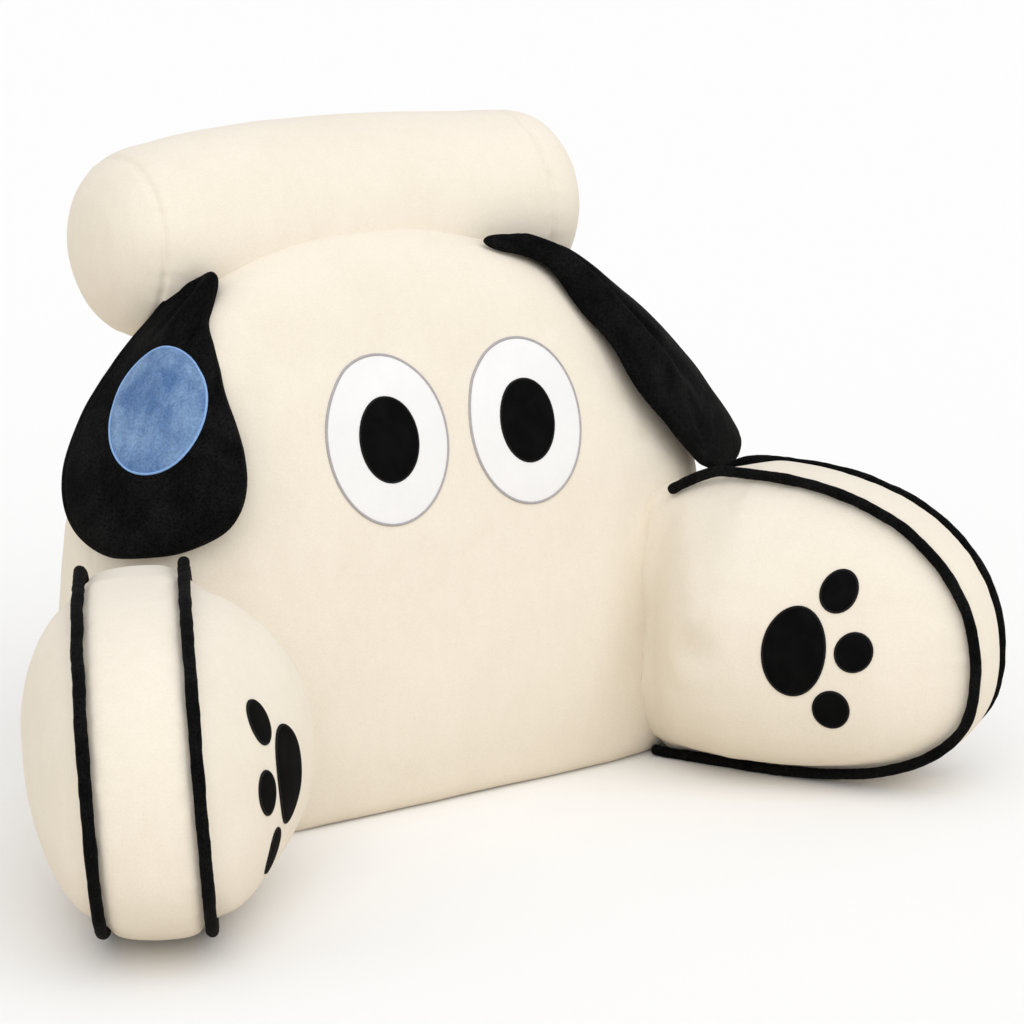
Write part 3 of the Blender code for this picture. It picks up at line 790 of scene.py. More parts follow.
# The right ear, against its solid:
EAR_START = (-0.018, 0.012)      # its sewn corner is drawn out to this place
START_REACH = 0.016
EAR_LONGER = 0.008               # its end hangs lower
EAR_NARROWER = 0.008             # its edge over the face is cut back by this
NARROWEST_AT = 0.117             # most at this place down the ear
NARROW_REACH = 0.028
EAR_RAISED = 0.009               # its middle stands off the shoulder
EAR_DROOP = 0.011                # and its front edge hangs down over the face
DROOP_FROM = -0.005              # from this place across it
DROOP_RUN = 0.055
DROOP_START = 0.06               # from this share of its length
DROOP_GROWTH = 0.2               # fully after this share more
DROOP_LOWER = 0.6                # and more towards the end by this share


def pattern_outline(rows):
    """An ear's edge from listed rows: down the near edge and back up the far one."""
    rows = np.array(rows)
    return np.concatenate([rows[:, (0, 1)], rows[::-1][:, (0, 2)]])


def solid_outline(side):
    """An ear's edge as its solid has it, with the right ear's changes to it."""
    tip, length, down, sideways, _ = ear_axes(side)
    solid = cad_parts["ear_" + side].data
    points, edges = points_of(solid), edges_of(solid)
    reach = (points - tip) @ down
    first, last = reach.min(), reach.max()
    near, far = [], []
    for i in range(EAR_SLICES):
        share = 0.5 - 0.5 * math.cos(math.pi * (i + 0.5) / EAR_SLICES)
        place = first + (last - first) * share
        low, high = sliced(points, edges, tip + down * place, down, sideways)
        far.append((place, low))
        near.append((place, high))
    loop = np.array(near + far[::-1])
    loop[:, 0] += EAR_LONGER * np.clip(loop[:, 0] / length, 0.0, 1.0) ** 2
    drawn = np.exp(-((np.linalg.norm(loop, axis=1) / START_REACH) ** 2))[:, None]
    loop = loop + drawn * (np.array(EAR_START) - loop)
    near = np.where(loop[:, 1] > 0.0, 1.0, 0.0)
    loop[:, 1] -= EAR_NARROWER * near * np.exp(-(((loop[:, 0] - NARROWEST_AT) / NARROW_REACH) ** 2))
    return loop


def ear_outline(side):
    """The ear's edge as (down, sideways) pairs, in even steps, from the tip."""
    loop = pattern_outline(EAR_PATTERNS[side]) if side in EAR_PATTERNS else solid_outline(side)
    loop = np.concatenate([loop, loop[:1]])
    run = run_of(loop)
    loop = placed_along(loop, run, np.linspace(0.0, run[-1], EAR_OUTLINE, endpoint=False))
    for _ in range(EAR_ROUNDING):
        loop = 0.5 * loop + 0.25 * (np.roll(loop, 1, axis=0) + np.roll(loop, -1, axis=0))
    return loop


def heights_on(tree, side, places, look):
    """Height of a surface above the ear's plane at each (down, sideways) place, nan where it is missed."""
    tip, _, down, sideways, out = ear_axes(side)
    heights = np.full(len(places), np.nan)
    for i, (d, s) in enumerate(places):
        start = tip + down * d + sideways * s + out * LOOK_FROM[look]
        hit, _, _, distance = tree.ray_cast(Vector(start), Vector(-out), LOOK_DEPTH[look])
        if hit:
            heights[i] = LOOK_FROM[look] - distance
    return heights


def ear_heights(side, places):
    """Top of the ear's solid at each place. Beyond its edge the nearest known height is taken."""
    heights = heights_on(surface_of_solid("ear_" + side), side, places, "ear")
    known = np.flatnonzero(~np.isnan(heights))
    near = tree_of(places[known])
    for i in np.flatnonzero(np.isnan(heights)):
        heights[i] = heights[known[near.find((*places[i], 0.0))[1]]]
    return heights


def resting_heights(side, places):
    """Height of the covers under the ear."""
    heights = np.full(len(places), NOT_OVER)
    for name in ("backrest_cover", "roll_cover"):
        cover = surface_of_piece(name)
        heights = np.fmax(heights, heights_on(cover, side, places, "covers"))
    return heights


EAR_CREASES = {
    # side: (from down, sideways), (to down, sideways), depth, width
    "left": [
        ((0.000, -0.012), (0.050, -0.040), 0.0045, 0.0032),
        ((-0.004, -0.005), (0.046, -0.024), -0.0030, 0.0045),
        ((0.004, -0.001), (0.066, -0.004), 0.0045, 0.0030),
        ((0.026, 0.004), (0.085, 0.013), -0.0035, 0.0040),
        ((0.034, 0.009), (0.095, 0.026), 0.0030, 0.0030),
        ((0.070, -0.070), (0.130, -0.052), 0.0018, 0.0070),
    ],
    "right": [
        ((0.020, -0.004), (0.235, 0.030), -0.0055, 0.0060),
        ((0.025, -0.018), (0.225, 0.012), 0.0085, 0.0065),
        ((0.030, 0.012), (0.110, 0.026), 0.0015, 0.0050),
        ((0.190, 0.020), (0.262, 0.050), 0.0022, 0.0060),
    ],
}
CREASE_START = 0.15              # how strong a fold already is at its start
CREASE_SOFTNESS = 0.7


def crease_shift(places, creases):
    """How far folds set in from the tip move the ear's upper side."""
    shift = np.zeros(len(places))
    for start, end, depth, width in creases:
        start, end = np.array(start), np.array(end)
        way = end - start
        share = np.clip(((places - start) @ way) / (way @ way), 0.0, 1.0)
        apart = np.linalg.norm(places - start - share[:, None] * way, axis=1)
        taper = np.sin(np.pi * np.clip(CREASE_START + (1 - CREASE_START) * share, 0, 1)) ** CREASE_SOFTNESS
        shift -= depth * taper * np.exp(-((apart / width) ** 2))
    return shift


def evened_heights(heights, faces):
    """Evens out heights between the corners of faces that share an edge."""
    total = len(heights)
    links = np.array(sorted({tuple(sorted((f[i], f[i - 1]))) for f in faces for i in range(len(f))}))
    for _ in range(EAR_EVENED):
        mean = np.bincount(links[:, 0], heights[links[:, 1]], total)
        mean += np.bincount(links[:, 1], heights[links[:, 0]], total)
        mean /= np.bincount(links.ravel(), minlength=total)
        heights = 0.5 * heights + 0.5 * mean
    return heights


def hung(heights, places, length):
    """The right ear's way of hanging: off the shoulder in the middle, down at its front edge."""
    share = np.clip(places[:, 0] / length, 0.0, 1.0)
    heights = heights + EAR_RAISED * np.sin(np.pi * share) ** 1.2
    hanging = np.clip((places[:, 1] - DROOP_FROM) / DROOP_RUN, 0.0, 1.0) ** 1.5
    grown = np.clip((share - DROOP_START) / DROOP_GROWTH, 0.0, 1.0)
    return heights - EAR_DROOP * hanging * grown * (1 + DROOP_LOWER * share)


def make_ear(side):
    """A drop ear: two layers of cloth, stitched near the edge, that lie on the covers."""
    tip, length, down, sideways, out = ear_axes(side)
    full = sizes().ear
    loop = ear_outline(side)
    middle = np.array((EAR_MIDDLE * length, 0.5 * (loop[:, 1].min() + loop[:, 1].max())))
    count = len(loop)
    places = [middle]
    for ring in range(1, EAR_RINGS + 1):
        share = math.sin(0.5 * math.pi * ring / EAR_RINGS)
        places.extend(middle + (loop - middle) * share)
    places = np.array(places)
    faces = disc_faces(EAR_RINGS, count)
    past_sewn = np.clip((places[:, 0] - SEWN_FROM) / SEWN_RUN, 0.0, 1.0)
    resting = resting_heights(side, places) + full * (LIFT_SEWN + LIFT_MORE * past_sewn)
    heights = np.maximum(ear_heights(side, places), resting)
    if side == "right":
        heights = hung(heights, places, length)
    heights = evened_heights(heights, faces)
    edge = tree_of(loop)
    from_edge = np.array([edge.find((*place, 0.0))[2] for place in places])
    rim = np.clip(from_edge / EAR_RIM, 0.0, 1.0)
    thick = full * (EDGE_THICKNESS + (1 - EDGE_THICKNESS) * np.sqrt(1 - (1 - rim) ** 2))
    thick = thick * np.where(from_edge < 1e-6, LAST_RING, 1.0)
    if side == "right":
        thick = thick * (SEWN_THICKNESS + (1 - SEWN_THICKNESS) * past_sewn)
    stitch = STITCH_DEPTH * np.exp(-(((from_edge - EAR_STITCH) / STITCH_WIDTH) ** 2))
    wave = np.array([EAR_WAVE * soft_noise(d / WAVE_LENGTH, s / WAVE_LENGTH, 2.0) for d, s in places])
    top = heights + wave + crease_shift(places, EAR_CREASES[side]) - stitch
    drop = 0.5 * (full - thick)
    plane = tip + places[:, :1] * down + places[:, 1:] * sideways
    upper = plane + (top - drop)[:, None] * out
    lower = plane + (top - drop - thick)[:, None] * out
    points = np.concatenate([upper, lower])
    if side == "right":
        points = shaped_by_hand(points, EAR_SHAPING)
    total = len(places)
    under = [tuple(total + i for i in reversed(f)) for f in faces]
    last = total - count
    wall = []
    for i in range(count):
        here, ahead = last + i, last + (i + 1) % count
        wall.append((here, total + here, total + ahead, ahead))
    piece = new_piece("%s_ear" % side, points, faces + under + wall, material_black())
    ride_as(piece, ["ear_" + side])


# ---------------------------------------------------------------- sewn-on ovals
OVAL_RINGS = 14
OVAL_STEPS = 96
OVAL_CROWN = 0.25                # the middle is higher than the rim by this share of the height
OVAL_SQUARENESS = 12             # the higher, the flatter the cloth and the steeper its edge
TURNED_DOWN = 0.0006             # the edge ends this far below the ground
THREAD_ACROSS = (-1.0, -0.72, 0.0, 0.72, 1.0)    # points across a band of stitches, in half widths
THREAD_RIB = 0.00010             # every other stitch is higher by this, the rest lower
THREAD_SUNK = 0.0005             # the band's edges end this far below the ground
THREAD_UNEVEN = 0.12             # share by which its width varies
THREAD_NOISE = (0.37, 90)        # steps in the noise for each stitch and each metre of the oval's width
EYE_EDGE = {"width": 0.0025, "height": 0.0014, "pitch": 0.0007, "inset": 0.0012}
PUPIL_EDGE = {"width": 0.0022, "height": 0.0011, "pitch": 0.0007, "inset": 0.0008}
PAD_EDGE = {"width": 0.0022, "height": 0.0013, "pitch": 0.0007, "inset": 0.0001}
PATCH_EDGE = {"width": 0.0020, "height": 0.0012, "pitch": 0.0008, "inset": 0.0006}
PUPIL_LIFT = 0.0012              # the pupil lies on the eye's cloth
RIGHTWARDS = np.array((1.0, 0, 0))
UPWARDS = np.array((0, 0, 1.0))
BACKWARDS = np.array((0, 1.0, 0))


def spread(node, axis):
    """Lowest and highest place of a solid along a direction."""
    places = points_of(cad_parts[node].data) @ np.asarray(axis)
    return places.min(), places.max()


def laid(place, towards, tree, lift):
    """The place on a surface that is met on the way through a given place, or else the nearest to it."""
    hit, normal, _, _ = tree.ray_cast(Vector(place - towards * 0.2), Vector(towards), 0.4)
    if hit is None:
        hit, normal, _, _ = tree.find_nearest(Vector(place))
    return np.array(hit) + np.array(normal) * lift


def oval_frame(node, right, up, towards):
    """Middle and half sizes of an oval solid in the plane it is drawn in."""
    (left, far), (low, high) = spread(node, right), spread(node, up)
    near, deep = spread(node, towards)
    middle = right * (left + far) / 2 + up * (low + high) / 2 + towards * (near + deep) / 2
    return middle, ((far - left) / 2, (high - low) / 2)


def sewn_oval(name, node, axes, tree, material, ground):
    """A cloth oval laid on a surface, its edge turned down to its ground."""
    right, up, towards = axes
    middle, (half_wide, half_high) = oval_frame(node, right, up, towards)
    height = sizes().oval
    points = [laid(middle, towards, tree, ground + height * (1 + OVAL_CROWN))]
    for ring in range(1, OVAL_RINGS + 1):
        share = math.sin(0.5 * math.pi * ring / OVAL_RINGS)
        lift = ground + height * (max(0.0, 1 - share**OVAL_SQUARENESS) ** 0.5 + OVAL_CROWN * (1 - share**2))
        if ring == OVAL_RINGS:
            lift = ground - TURNED_DOWN
        for i in range(OVAL_STEPS):
            angle = 2 * math.pi * i / OVAL_STEPS
            across = right * half_wide * share * math.cos(angle) + up * half_high * share * math.sin(angle)
            points.append(laid(middle + across, towards, tree, lift))
    return new_piece(name, points, disc_faces(OVAL_RINGS, OVAL_STEPS), material)


def stitched_edge(name, node, axes, tree, material, ground, width, height, pitch, inset):
    """A band of satin stitches round an oval, one rib for each thread."""
    right, up, towards = axes
    middle, (half_wide, half_high) = oval_frame(node, right, up, towards)
    half_wide, half_high = half_wide - inset, half_high - inset
    length = 2 * math.pi * math.sqrt((half_wide**2 + half_high**2) / 2)
    steps = 2 * int(length / pitch)
    points = []
    for i in range(steps):
        angle = 2 * math.pi * i / steps
        place = middle + right * half_wide * math.cos(angle) + up * half_high * math.sin(angle)
        outwards = unit(right * math.cos(angle) / half_wide + up * math.sin(angle) / half_high)
        rib = THREAD_RIB if i % 2 else -THREAD_RIB
        uneven = 1 + THREAD_UNEVEN * soft_noise(i * THREAD_NOISE[0], half_wide * THREAD_NOISE[1])
        for c in THREAD_ACROSS:
            lift = ground + height * math.sqrt(max(0.0, 1 - c * c)) + (rib if abs(c) < 1 else -THREAD_SUNK)
            points.append(laid(place + outwards * (c * uneven * width / 2), towards, tree, lift))
    wide = len(THREAD_ACROSS)
    faces = []
    for i in range(steps):
        a, b = i * wide, ((i + 1) % steps) * wide
        faces += [(a + k, a + k + 1, b + k + 1, b + k) for k in range(wide - 1)]
    return new_piece(name, points, faces, material)


def lay_oval(name, node, axes, cloth, thread, edge, cover, ground=0.0):
    """One sewn-on oval with its stitched edge."""
    piece = sewn_oval(name, node, axes, cover, cloth, ground)
    ride_as(piece, [node])
    band = stitched_edge(name + "_edge", node, axes, cover, thread, ground, **edge)
    ride_as(band, [])
    _, (half_wide, half_high) = oval_frame(node, *axes)


def make_face():
    """The eyes, each with a pupil sewn on it."""
    cover = surface_of_piece("backrest_cover")
    axes = RIGHTWARDS, UPWARDS, BACKWARDS
    for word in ("left", "right"):
        eye = "eye_%s_cloth" % word
        lay_oval(eye, "eye_" + word, axes, material_white(), material_grey_thread(),
                 EYE_EDGE, cover)
        lay_oval("pupil_%s_cloth" % word, "pupil_" + word, axes, material_flat_black(),
                 material_black_thread(), PUPIL_EDGE, cover, PUPIL_LIFT)


def make_paws():
    """A palm and three toes on the inner panel of each arm."""
    for side, word in ((-1, "left"), (1, "right")):
        arm = "arm_%s_cover" % word
        cover = surface_of_piece(arm)
        axes = arm_direction(side, 1.0, 0.0), UPWARDS, arm_direction(side, 0.0, -1.0)
        for pad in ("palm", "toe_1", "toe_2", "toe_3"):
            lay_oval("%s_%s_cloth" % (pad, word), "%s_%s" % (pad, word), axes, material_flat_black(),
                     material_black_thread(), PAD_EDGE, cover)


def make_ear_patch():
    """The oval on the left ear."""
    _, _, down, sideways, out = ear_axes("left")
    cover = surface_of_piece("left_ear")
    lay_oval("ear_oval", "ear_patch", (sideways, -down, -out), material_blue(),
             material_blue_thread(), PATCH_EDGE, cover)


# ---------------------------------------------------------------- node groups
def group_start(name, inputs, outputs):
    """A new node group with its sockets."""
    group = bpy.data.node_groups.new(name, "ShaderNodeTree")
    for label, kind, default in inputs:
        socket = group.interface.new_socket(label, in_out="INPUT", socket_type=kind)
        socket.default_value = default
    for label, kind in outputs:
        group.interface.new_socket(label, in_out="OUTPUT", socket_type=kind)
    start = group.nodes.new("NodeGroupInput")
    end = group.nodes.new("NodeGroupOutput")
    return group, start, end


def give(tree, socket, value):
    """Sets a socket, or links it where the value comes from another node."""
    if isinstance(value, bpy.types.NodeSocket):
        tree.links.new(value, socket)
    else:
        socket.default_value = value


def maths(tree, operation, a, b, clamp=False):
    """One arithmetic step on numbers or outputs."""
    node = tree.nodes.new("ShaderNodeMath")
    node.operation = operation
    node.use_clamp = clamp
    give(tree, node.inputs[0], a)
    give(tree, node.inputs[1], b)
    return node.outputs[0]


def mixed(tree, factor, a, b):
    """A colour between two others."""
    node = tree.nodes.new("ShaderNodeMix")
    node.data_type = "RGBA"
    for number, value in ((0, factor), (6, a), (7, b)):
        give(tree, node.inputs[number], value)
    return node.outputs[2]


def brightened(tree, colour, factor):
    """A colour made lighter or darker."""
    node = tree.nodes.new("ShaderNodeVectorMath")
    node.operation = "SCALE"
    tree.links.new(colour, node.inputs[0])
    tree.links.new(factor, node.inputs["Scale"])
    return node.outputs[0]


def grain(tree, vector, scale, detail=2.0, distortion=0.0):
    """Noise that follows the cloth."""
    node = tree.nodes.new("ShaderNodeTexNoise")
    node.inputs["Detail"].default_value = detail
    node.inputs["Distortion"].default_value = distortion
    tree.links.new(vector, node.inputs["Vector"])
    give(tree, node.inputs["Scale"], scale)
    return node.outputs[0]


def ranged(tree, value, low, high, to_low=0.0, to_high=1.0):
    """Stretches what lies between low and high over another range, with soft ends."""
    node = tree.nodes.new("ShaderNodeMapRange")
    node.interpolation_type = "SMOOTHSTEP"
    tree.links.new(value, node.inputs["Value"])
    for label, number in (("From Min", low), ("From Max", high), ("To Min", to_low), ("To Max", to_high)):
        node.inputs[label].default_value = number
    return node.outputs[0]


def stretched(tree, vector, scale, turn):
    """The place in the cloth, stretched and turned."""
    node = tree.nodes.new("ShaderNodeMapping")
    node.inputs["Scale"].default_value = scale
    node.inputs["Rotation"].default_value = turn
    tree.links.new(vector, node.inputs["Vector"])
    return node.outputs[0]


def pile_group():
    """Short pile: patches of nap brushed one way or the other, fine tufts and a speckle of fibre ends."""
    found = bpy.data.node_groups.get("short_pile")
    if found:
        return found
    group, start, end = group_start(
        "short_pile",
        [
            ("Colour", "NodeSocketColor", (0.8, 0.8, 0.8, 1.0)),
            ("Nap Colour", "NodeSocketColor", (0.7, 0.7, 0.7, 1.0)),
            ("Nap Amount", "NodeSocketFloat", 0.5),
            ("Nap Scale", "NodeSocketFloat", 14.0),
            ("Pile Scale", "NodeSocketFloat", 900.0),
            ("Speckle", "NodeSocketFloat", 0.05),
            ("Roughness", "NodeSocketFloat", 0.85),
        ],
        [("Colour", "NodeSocketColor"), ("Roughness", "NodeSocketFloat"), ("Height", "NodeSocketFloat")],
    )
    place = group.nodes.new("ShaderNodeTexCoord").outputs["Object"]
    patches = ranged(group, grain(group, place, start.outputs["Nap Scale"], 4.0, 0.8), 0.35, 0.68)
    brushed = grain(group, stretched(group, place, (1.0, 1.0, 0.35), (0.3, 0.5, 0.2)), 110.0, 3.0, 0.5)
    strokes = ranged(group, brushed, 0.35, 0.7)
    broad, fine = maths(group, "MULTIPLY", patches, 0.65), maths(group, "MULTIPLY", strokes, 0.35)
    nap = maths(group, "MULTIPLY", maths(group, "ADD", broad, fine), start.outputs["Nap Amount"], clamp=True)
    coloured = mixed(group, nap, start.outputs["Colour"], start.outputs["Nap Colour"])
    tufts = grain(group, place, start.outputs["Pile Scale"], 3.0)
    fibres = grain(group, place, maths(group, "MULTIPLY", start.outputs["Pile Scale"], 2.7), 2.0)
    speckle = maths(group, "MULTIPLY", maths(group, "SUBTRACT", tufts, 0.5), start.outputs["Speckle"])
    bright = maths(group, "ADD", maths(group, "MULTIPLY", speckle, 4.0), 1.0)
    group.links.new(brightened(group, coloured, bright), end.inputs["Colour"])
    rough = maths(group, "SUBTRACT", start.outputs["Roughness"], maths(group, "MULTIPLY", nap, 0.12))
    group.links.new(rough, end.inputs["Roughness"])
    height = maths(group, "ADD", maths(group, "MULTIPLY", tufts, 0.6), maths(group, "MULTIPLY", fibres, 0.4))
    height = maths(group, "ADD", height, maths(group, "MULTIPLY", strokes, 0.35))
    group.links.new(height, end.inputs["Height"])
    return group


def thread_group():
    """Smooth close thread: a fine twist and slight changes of shade."""
    found = bpy.data.node_groups.get("sewing_thread")
    if found:
        return found
    group, start, end = group_start(
        "sewing_thread",
        [("Colour", "NodeSocketColor", (0.5, 0.5, 0.5, 1.0)), ("Roughness", "NodeSocketFloat", 0.5)],
        [("Colour", "NodeSocketColor"), ("Roughness", "NodeSocketFloat"), ("Height", "NodeSocketFloat")],
    )
    place = group.nodes.new("ShaderNodeTexCoord").outputs["Object"]
    twist = grain(group, place, 1800.0, 2.0, 0.6)
    shade = ranged(group, grain(group, place, 900.0, 2.0), 0.3, 0.7, 0.90, 1.08)
    group.links.new(brightened(group, start.outputs["Colour"], shade), end.inputs["Colour"])
    rough = maths(group, "ADD", start.outputs["Roughness"], maths(group, "MULTIPLY", twist, 0.15))
    group.links.new(rough, end.inputs["Roughness"])
    group.links.new(twist, end.inputs["Height"])
    return group


# ---------------------------------------------------------------- materials
def shaded(name, group, values, bump, bump_height, sheen, sheen_rough, tint, specular):
    """A cloth material: one group gives colour, roughness and height, the sheen is the shader's own."""
    found = bpy.data.materials.get(name)
    if found:
        return found
    material = bpy.data.materials.new(name)
    material.use_nodes = True
    tree = material.node_tree
    shader = tree.nodes["Principled BSDF"]
    cloth = tree.nodes.new("ShaderNodeGroup")
    cloth.node_tree = group
    for label, value in values.items():
        cloth.inputs[label].default_value = value
    tree.links.new(cloth.outputs["Colour"], shader.inputs["Base Color"])
    tree.links.new(cloth.outputs["Roughness"], shader.inputs["Roughness"])
    raised = tree.nodes.new("ShaderNodeBump")
    raised.inputs["Strength"].default_value = bump
    raised.inputs["Distance"].default_value = bump_height
    tree.links.new(cloth.outputs["Height"], raised.inputs["Height"])
    tree.links.new(raised.outputs["Normal"], shader.inputs["Normal"])
    shader.inputs["Metallic"].default_value = 0.0
    shader.inputs["Specular IOR Level"].default_value = specular
    shader.inputs["Sheen Weight"].default_value = sheen
    shader.inputs["Sheen Roughness"].default_value = sheen_rough
    shader.inputs["Sheen Tint"].default_value = (*tint, 1.0)
    return material


def pile_values(colour, nap_colour, nap, nap_scale, pile_scale, speckle, roughness):
    """What a pile needs to know, by socket."""
    return {"Colour": (*colour, 1.0), "Nap Colour": (*nap_colour, 1.0), "Nap Amount": nap,
            "Nap Scale": nap_scale, "Pile Scale": pile_scale, "Speckle": speckle, "Roughness": roughness}


def material_cream():
    values = pile_values(colours().cream, colours().cream_nap, nap=0.55, nap_scale=11.0, pile_scale=700.0,
                         speckle=0.035, roughness=0.95)
    return shaded("cream_plush_cloth", pile_group(), values, bump=0.35, bump_height=0.0006, sheen=0.25,
                  sheen_rough=0.5, tint=(1.0, 0.96, 0.90), specular=0.15)


def material_black():
    values = pile_values(colours().black, colours().black_nap, nap=0.9, nap_scale=22.0, pile_scale=620.0,
                         speckle=0.85, roughness=0.85)
    return shaded("black_plush_cloth", pile_group(), values, bump=1.0, bump_height=0.0012, sheen=0.022,
                  sheen_rough=0.30, tint=(0.75, 0.75, 0.78), specular=0.03)


def material_flat_black():
    values = pile_values(colours().black, colours().black_nap, nap=0.4, nap_scale=40.0, pile_scale=1300.0,
                         speckle=0.08, roughness=0.85)
    return shaded("black_short_cloth", pile_group(), values, bump=0.3, bump_height=0.0003, sheen=0.01,
                  sheen_rough=0.4, tint=(0.7, 0.7, 0.7), specular=0.02)


def material_blue():
    values = pile_values(colours().blue, colours().blue_nap, nap=1.0, nap_scale=24.0, pile_scale=520.0,
                         speckle=0.26, roughness=0.85)
    return shaded("blue_plush_cloth", pile_group(), values, bump=0.7, bump_height=0.0009, sheen=0.35,
                  sheen_rough=0.4, tint=(0.75, 0.85, 1.0), specular=0.2)


def material_white():
    values = pile_values(colours().white, colours().white_nap, nap=0.35, nap_scale=30.0, pile_scale=1400.0,
                         speckle=0.02, roughness=0.8)
    return shaded("white_short_cloth", pile_group(), values, bump=0.2, bump_height=0.0003, sheen=0.1,
                  sheen_rough=0.5, tint=(1.0, 1.0, 1.0), specular=0.2)


def stitches(name, colour, roughness, sheen, tint, specular):
    """Stitches, all of one twist."""
    values = {"Colour": (*colour, 1.0), "Roughness": roughness}
    return shaded(name, thread_group(), values, bump=0.4, bump_height=0.0002, sheen=sheen, sheen_rough=0.3,
                  tint=tint, specular=specular)


def material_grey_thread():
    return stitches("grey_thread", colours().grey_thread, 0.45, sheen=0.1, tint=(1.0, 1.0, 1.0),
                    specular=0.3)


def material_black_thread():
    return stitches("black_thread", colours().black_thread, 0.55, sheen=0.02, tint=(0.8, 0.8, 0.8),
                    specular=0.15)


def material_blue_thread():
    return stitches("blue_thread", colours().blue_thread, 0.5, sheen=0.2, tint=(0.8, 0.9, 1.0),
                    specular=0.3)


# ---------------------------------------------------------------- stage
SUNS = [
    # name, shines from, strength, angle
    ("key", (-0.12, -0.85, 0.85), 1.12, 75.0),
    ("left", (-0.95, -0.35, 0.45), 0.46, 90.0),
    ("right", (0.9, -0.4, 0.45), 0.30, 90.0),
]
WORLD_STRENGTH = 0.68
FLOOR_HALF = 12.0
FLOOR_SEEN = (0.95, 0.95, 0.95)        # how pale the floor looks
FLOOR_BOUNCE = (0.80, 0.745, 0.655)    # its colour as a reflector on the pillow


def make_floor():
    """A pale floor that also reflects a warm light on the pillow."""
    mesh = bpy.data.meshes.new("floor")
    corners = [(x * FLOOR_HALF, y * FLOOR_HALF, 0) for x, y in ((-1, -1), (1, -1), (1, 1), (-1, 1))]
    mesh.from_pydata(corners, [], [(0, 1, 2, 3)])
    floor = bpy.data.objects.new("floor", mesh)
    bpy.context.scene.collection.objects.link(floor)
    paint = bpy.data.materials.new("pale_floor")
    paint.use_nodes = True
    tree = paint.node_tree
    shader = tree.nodes["Principled BSDF"]
    seen = tree.nodes.new("ShaderNodeLightPath").outputs["Is Camera Ray"]
    colour = mixed(tree, seen, (*FLOOR_BOUNCE, 1.0), (*FLOOR_SEEN, 1.0))
    tree.links.new(colour, shader.inputs["Base Color"])
    shader.inputs["Roughness"].default_value = 1.0
    shader.inputs["Specular IOR Level"].default_value = 0.0
    mesh.materials.append(paint)


def make_lights():
    """Three soft suns and an even sky."""
    scene = bpy.context.scene
    for name, place, strength, angle in SUNS:
        lamp = bpy.data.lights.new(name, "SUN")
        lamp.energy = strength
        lamp.angle = math.radians(angle)
        light = bpy.data.objects.new(name, lamp)
        light.location = place
        light.rotation_euler = (-Vector(place)).to_track_quat("-Z", "Y").to_euler()
        scene.collection.objects.link(light)
    world = bpy.data.worlds.new("studio")
    world.use_nodes = True
    world.node_tree.nodes["Background"].inputs["Color"].default_value = (1.0, 1.0, 1.0, 1.0)
    world.node_tree.nodes["Background"].inputs["Strength"].default_value = WORLD_STRENGTH
    scene.world = world
    scene.view_settings.view_transform = "Standard"
    scene.view_settings.look = "None"


def make_camera():
    """The camera that sees the pillow from the front left, a little from above."""
    scene = bpy.context.scene
    camera_data = bpy.data.cameras.new("camera")
    camera_data.lens = CAMERA_LENS
    camera_data.sensor_width = SENSOR_WIDTH
    camera_data.clip_start = 0.1
    camera_data.clip_end = 60.0
    camera = bpy.data.objects.new("camera", camera_data)
    aim = Vector(CAMERA_FORWARD).to_track_quat("-Z", "Y")
    camera.matrix_world = (
        Matrix.Translation(CAMERA_AT) @ aim.to_matrix().to_4x4() @ Matrix.Rotation(-CAMERA_ROLL, 4, "Z")
    )
    scene.collection.objects.link(camera)
    scene.camera = camera


# ---------------------------------------------------------------- operators
class PILLOW_OT_backrest(bpy.types.Operator):
    """Makes the filled backrest"""

    bl_idname = "pillow.backrest"
    bl_label = "Backrest"

    def execute(self, context):
        make_backrest()
        return {"FINISHED"}


class PILLOW_OT_arms(bpy.types.Operator):
    """Makes the two filled arms"""

    bl_idname = "pillow.arms"
    bl_label = "Arms"

    def execute(self, context):
        make_arm(-1, "left")
        make_arm(1, "right")
        return {"FINISHED"}


class PILLOW_OT_roll(bpy.types.Operator):
    """Makes the neck roll"""

    bl_idname = "pillow.roll"
    bl_label = "Neck roll"

    def execute(self, context):
        make_roll()
        return {"FINISHED"}


class PILLOW_OT_piping(bpy.types.Operator):
    """Makes the black piping of both arms"""

    bl_idname = "pillow.piping"
    bl_label = "Piping"

    def execute(self, context):
        make_piping()
        return {"FINISHED"}


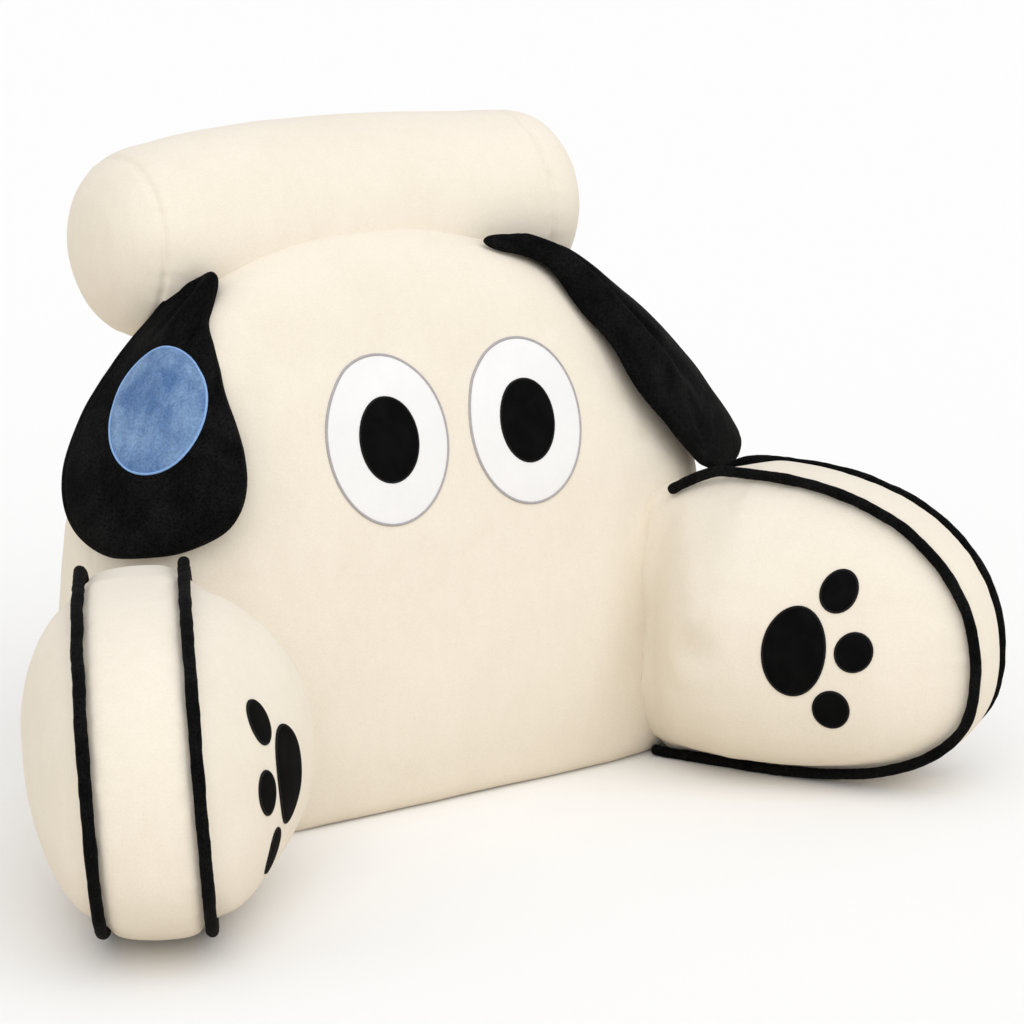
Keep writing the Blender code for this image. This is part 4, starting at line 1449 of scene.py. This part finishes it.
class PILLOW_OT_ears(bpy.types.Operator):
    """Makes the drop ears and the oval on the left one"""

    bl_idname = "pillow.ears"
    bl_label = "Ears"

    def execute(self, context):
        make_ear("left")
        make_ear("right")
        make_ear_patch()
        return {"FINISHED"}


class PILLOW_OT_face(bpy.types.Operator):
    """Makes the sewn-on eyes"""

    bl_idname = "pillow.face"
    bl_label = "Eyes"

    def execute(self, context):
        make_face()
        return {"FINISHED"}


class PILLOW_OT_paws(bpy.types.Operator):
    """Makes the paw prints on the arms"""

    bl_idname = "pillow.paws"
    bl_label = "Paw prints"

    def execute(self, context):
        make_paws()
        return {"FINISHED"}


class PILLOW_OT_stage(bpy.types.Operator):
    """Makes the floor, the lights and the camera"""

    bl_idname = "pillow.stage"
    bl_label = "Stage"

    def execute(self, context):
        make_floor()
        make_lights()
        make_camera()
        return {"FINISHED"}


OPERATORS = (
    PILLOW_OT_stage,
    PILLOW_OT_backrest,
    PILLOW_OT_arms,
    PILLOW_OT_roll,
    PILLOW_OT_piping,
    PILLOW_OT_ears,
    PILLOW_OT_face,
    PILLOW_OT_paws,
)


class PILLOW_PT_panel(bpy.types.Panel):
    """Lists the sizes, the colours and the steps"""

    bl_idname = "PILLOW_PT_panel"
    bl_label = "Reading pillow"
    bl_space_type = "VIEW_3D"
    bl_region_type = "UI"
    bl_category = "Pillow"

    def draw(self, context):
        layout = self.layout
        for group in (context.scene.pillow_sizes, context.scene.pillow_colours):
            box = layout.box()
            for name in group.__annotations__:
                box.prop(group, name)
        for operator in OPERATORS:
            layout.operator(operator.bl_idname)


CLASSES = (PillowSizes, PillowColours, *OPERATORS, PILLOW_PT_panel)


def register():
    for one in CLASSES:
        bpy.utils.register_class(one)
    bpy.types.Scene.pillow_sizes = PointerProperty(type=PillowSizes)
    bpy.types.Scene.pillow_colours = PointerProperty(type=PillowColours)


def unregister():
    del bpy.types.Scene.pillow_colours
    del bpy.types.Scene.pillow_sizes
    for one in reversed(CLASSES):
        bpy.utils.unregister_class(one)


def main():
    register()
    for one in OPERATORS:
        group, name = one.bl_idname.split(".")
        getattr(getattr(bpy.ops, group), name)()


if __name__ == "__main__":
    main()
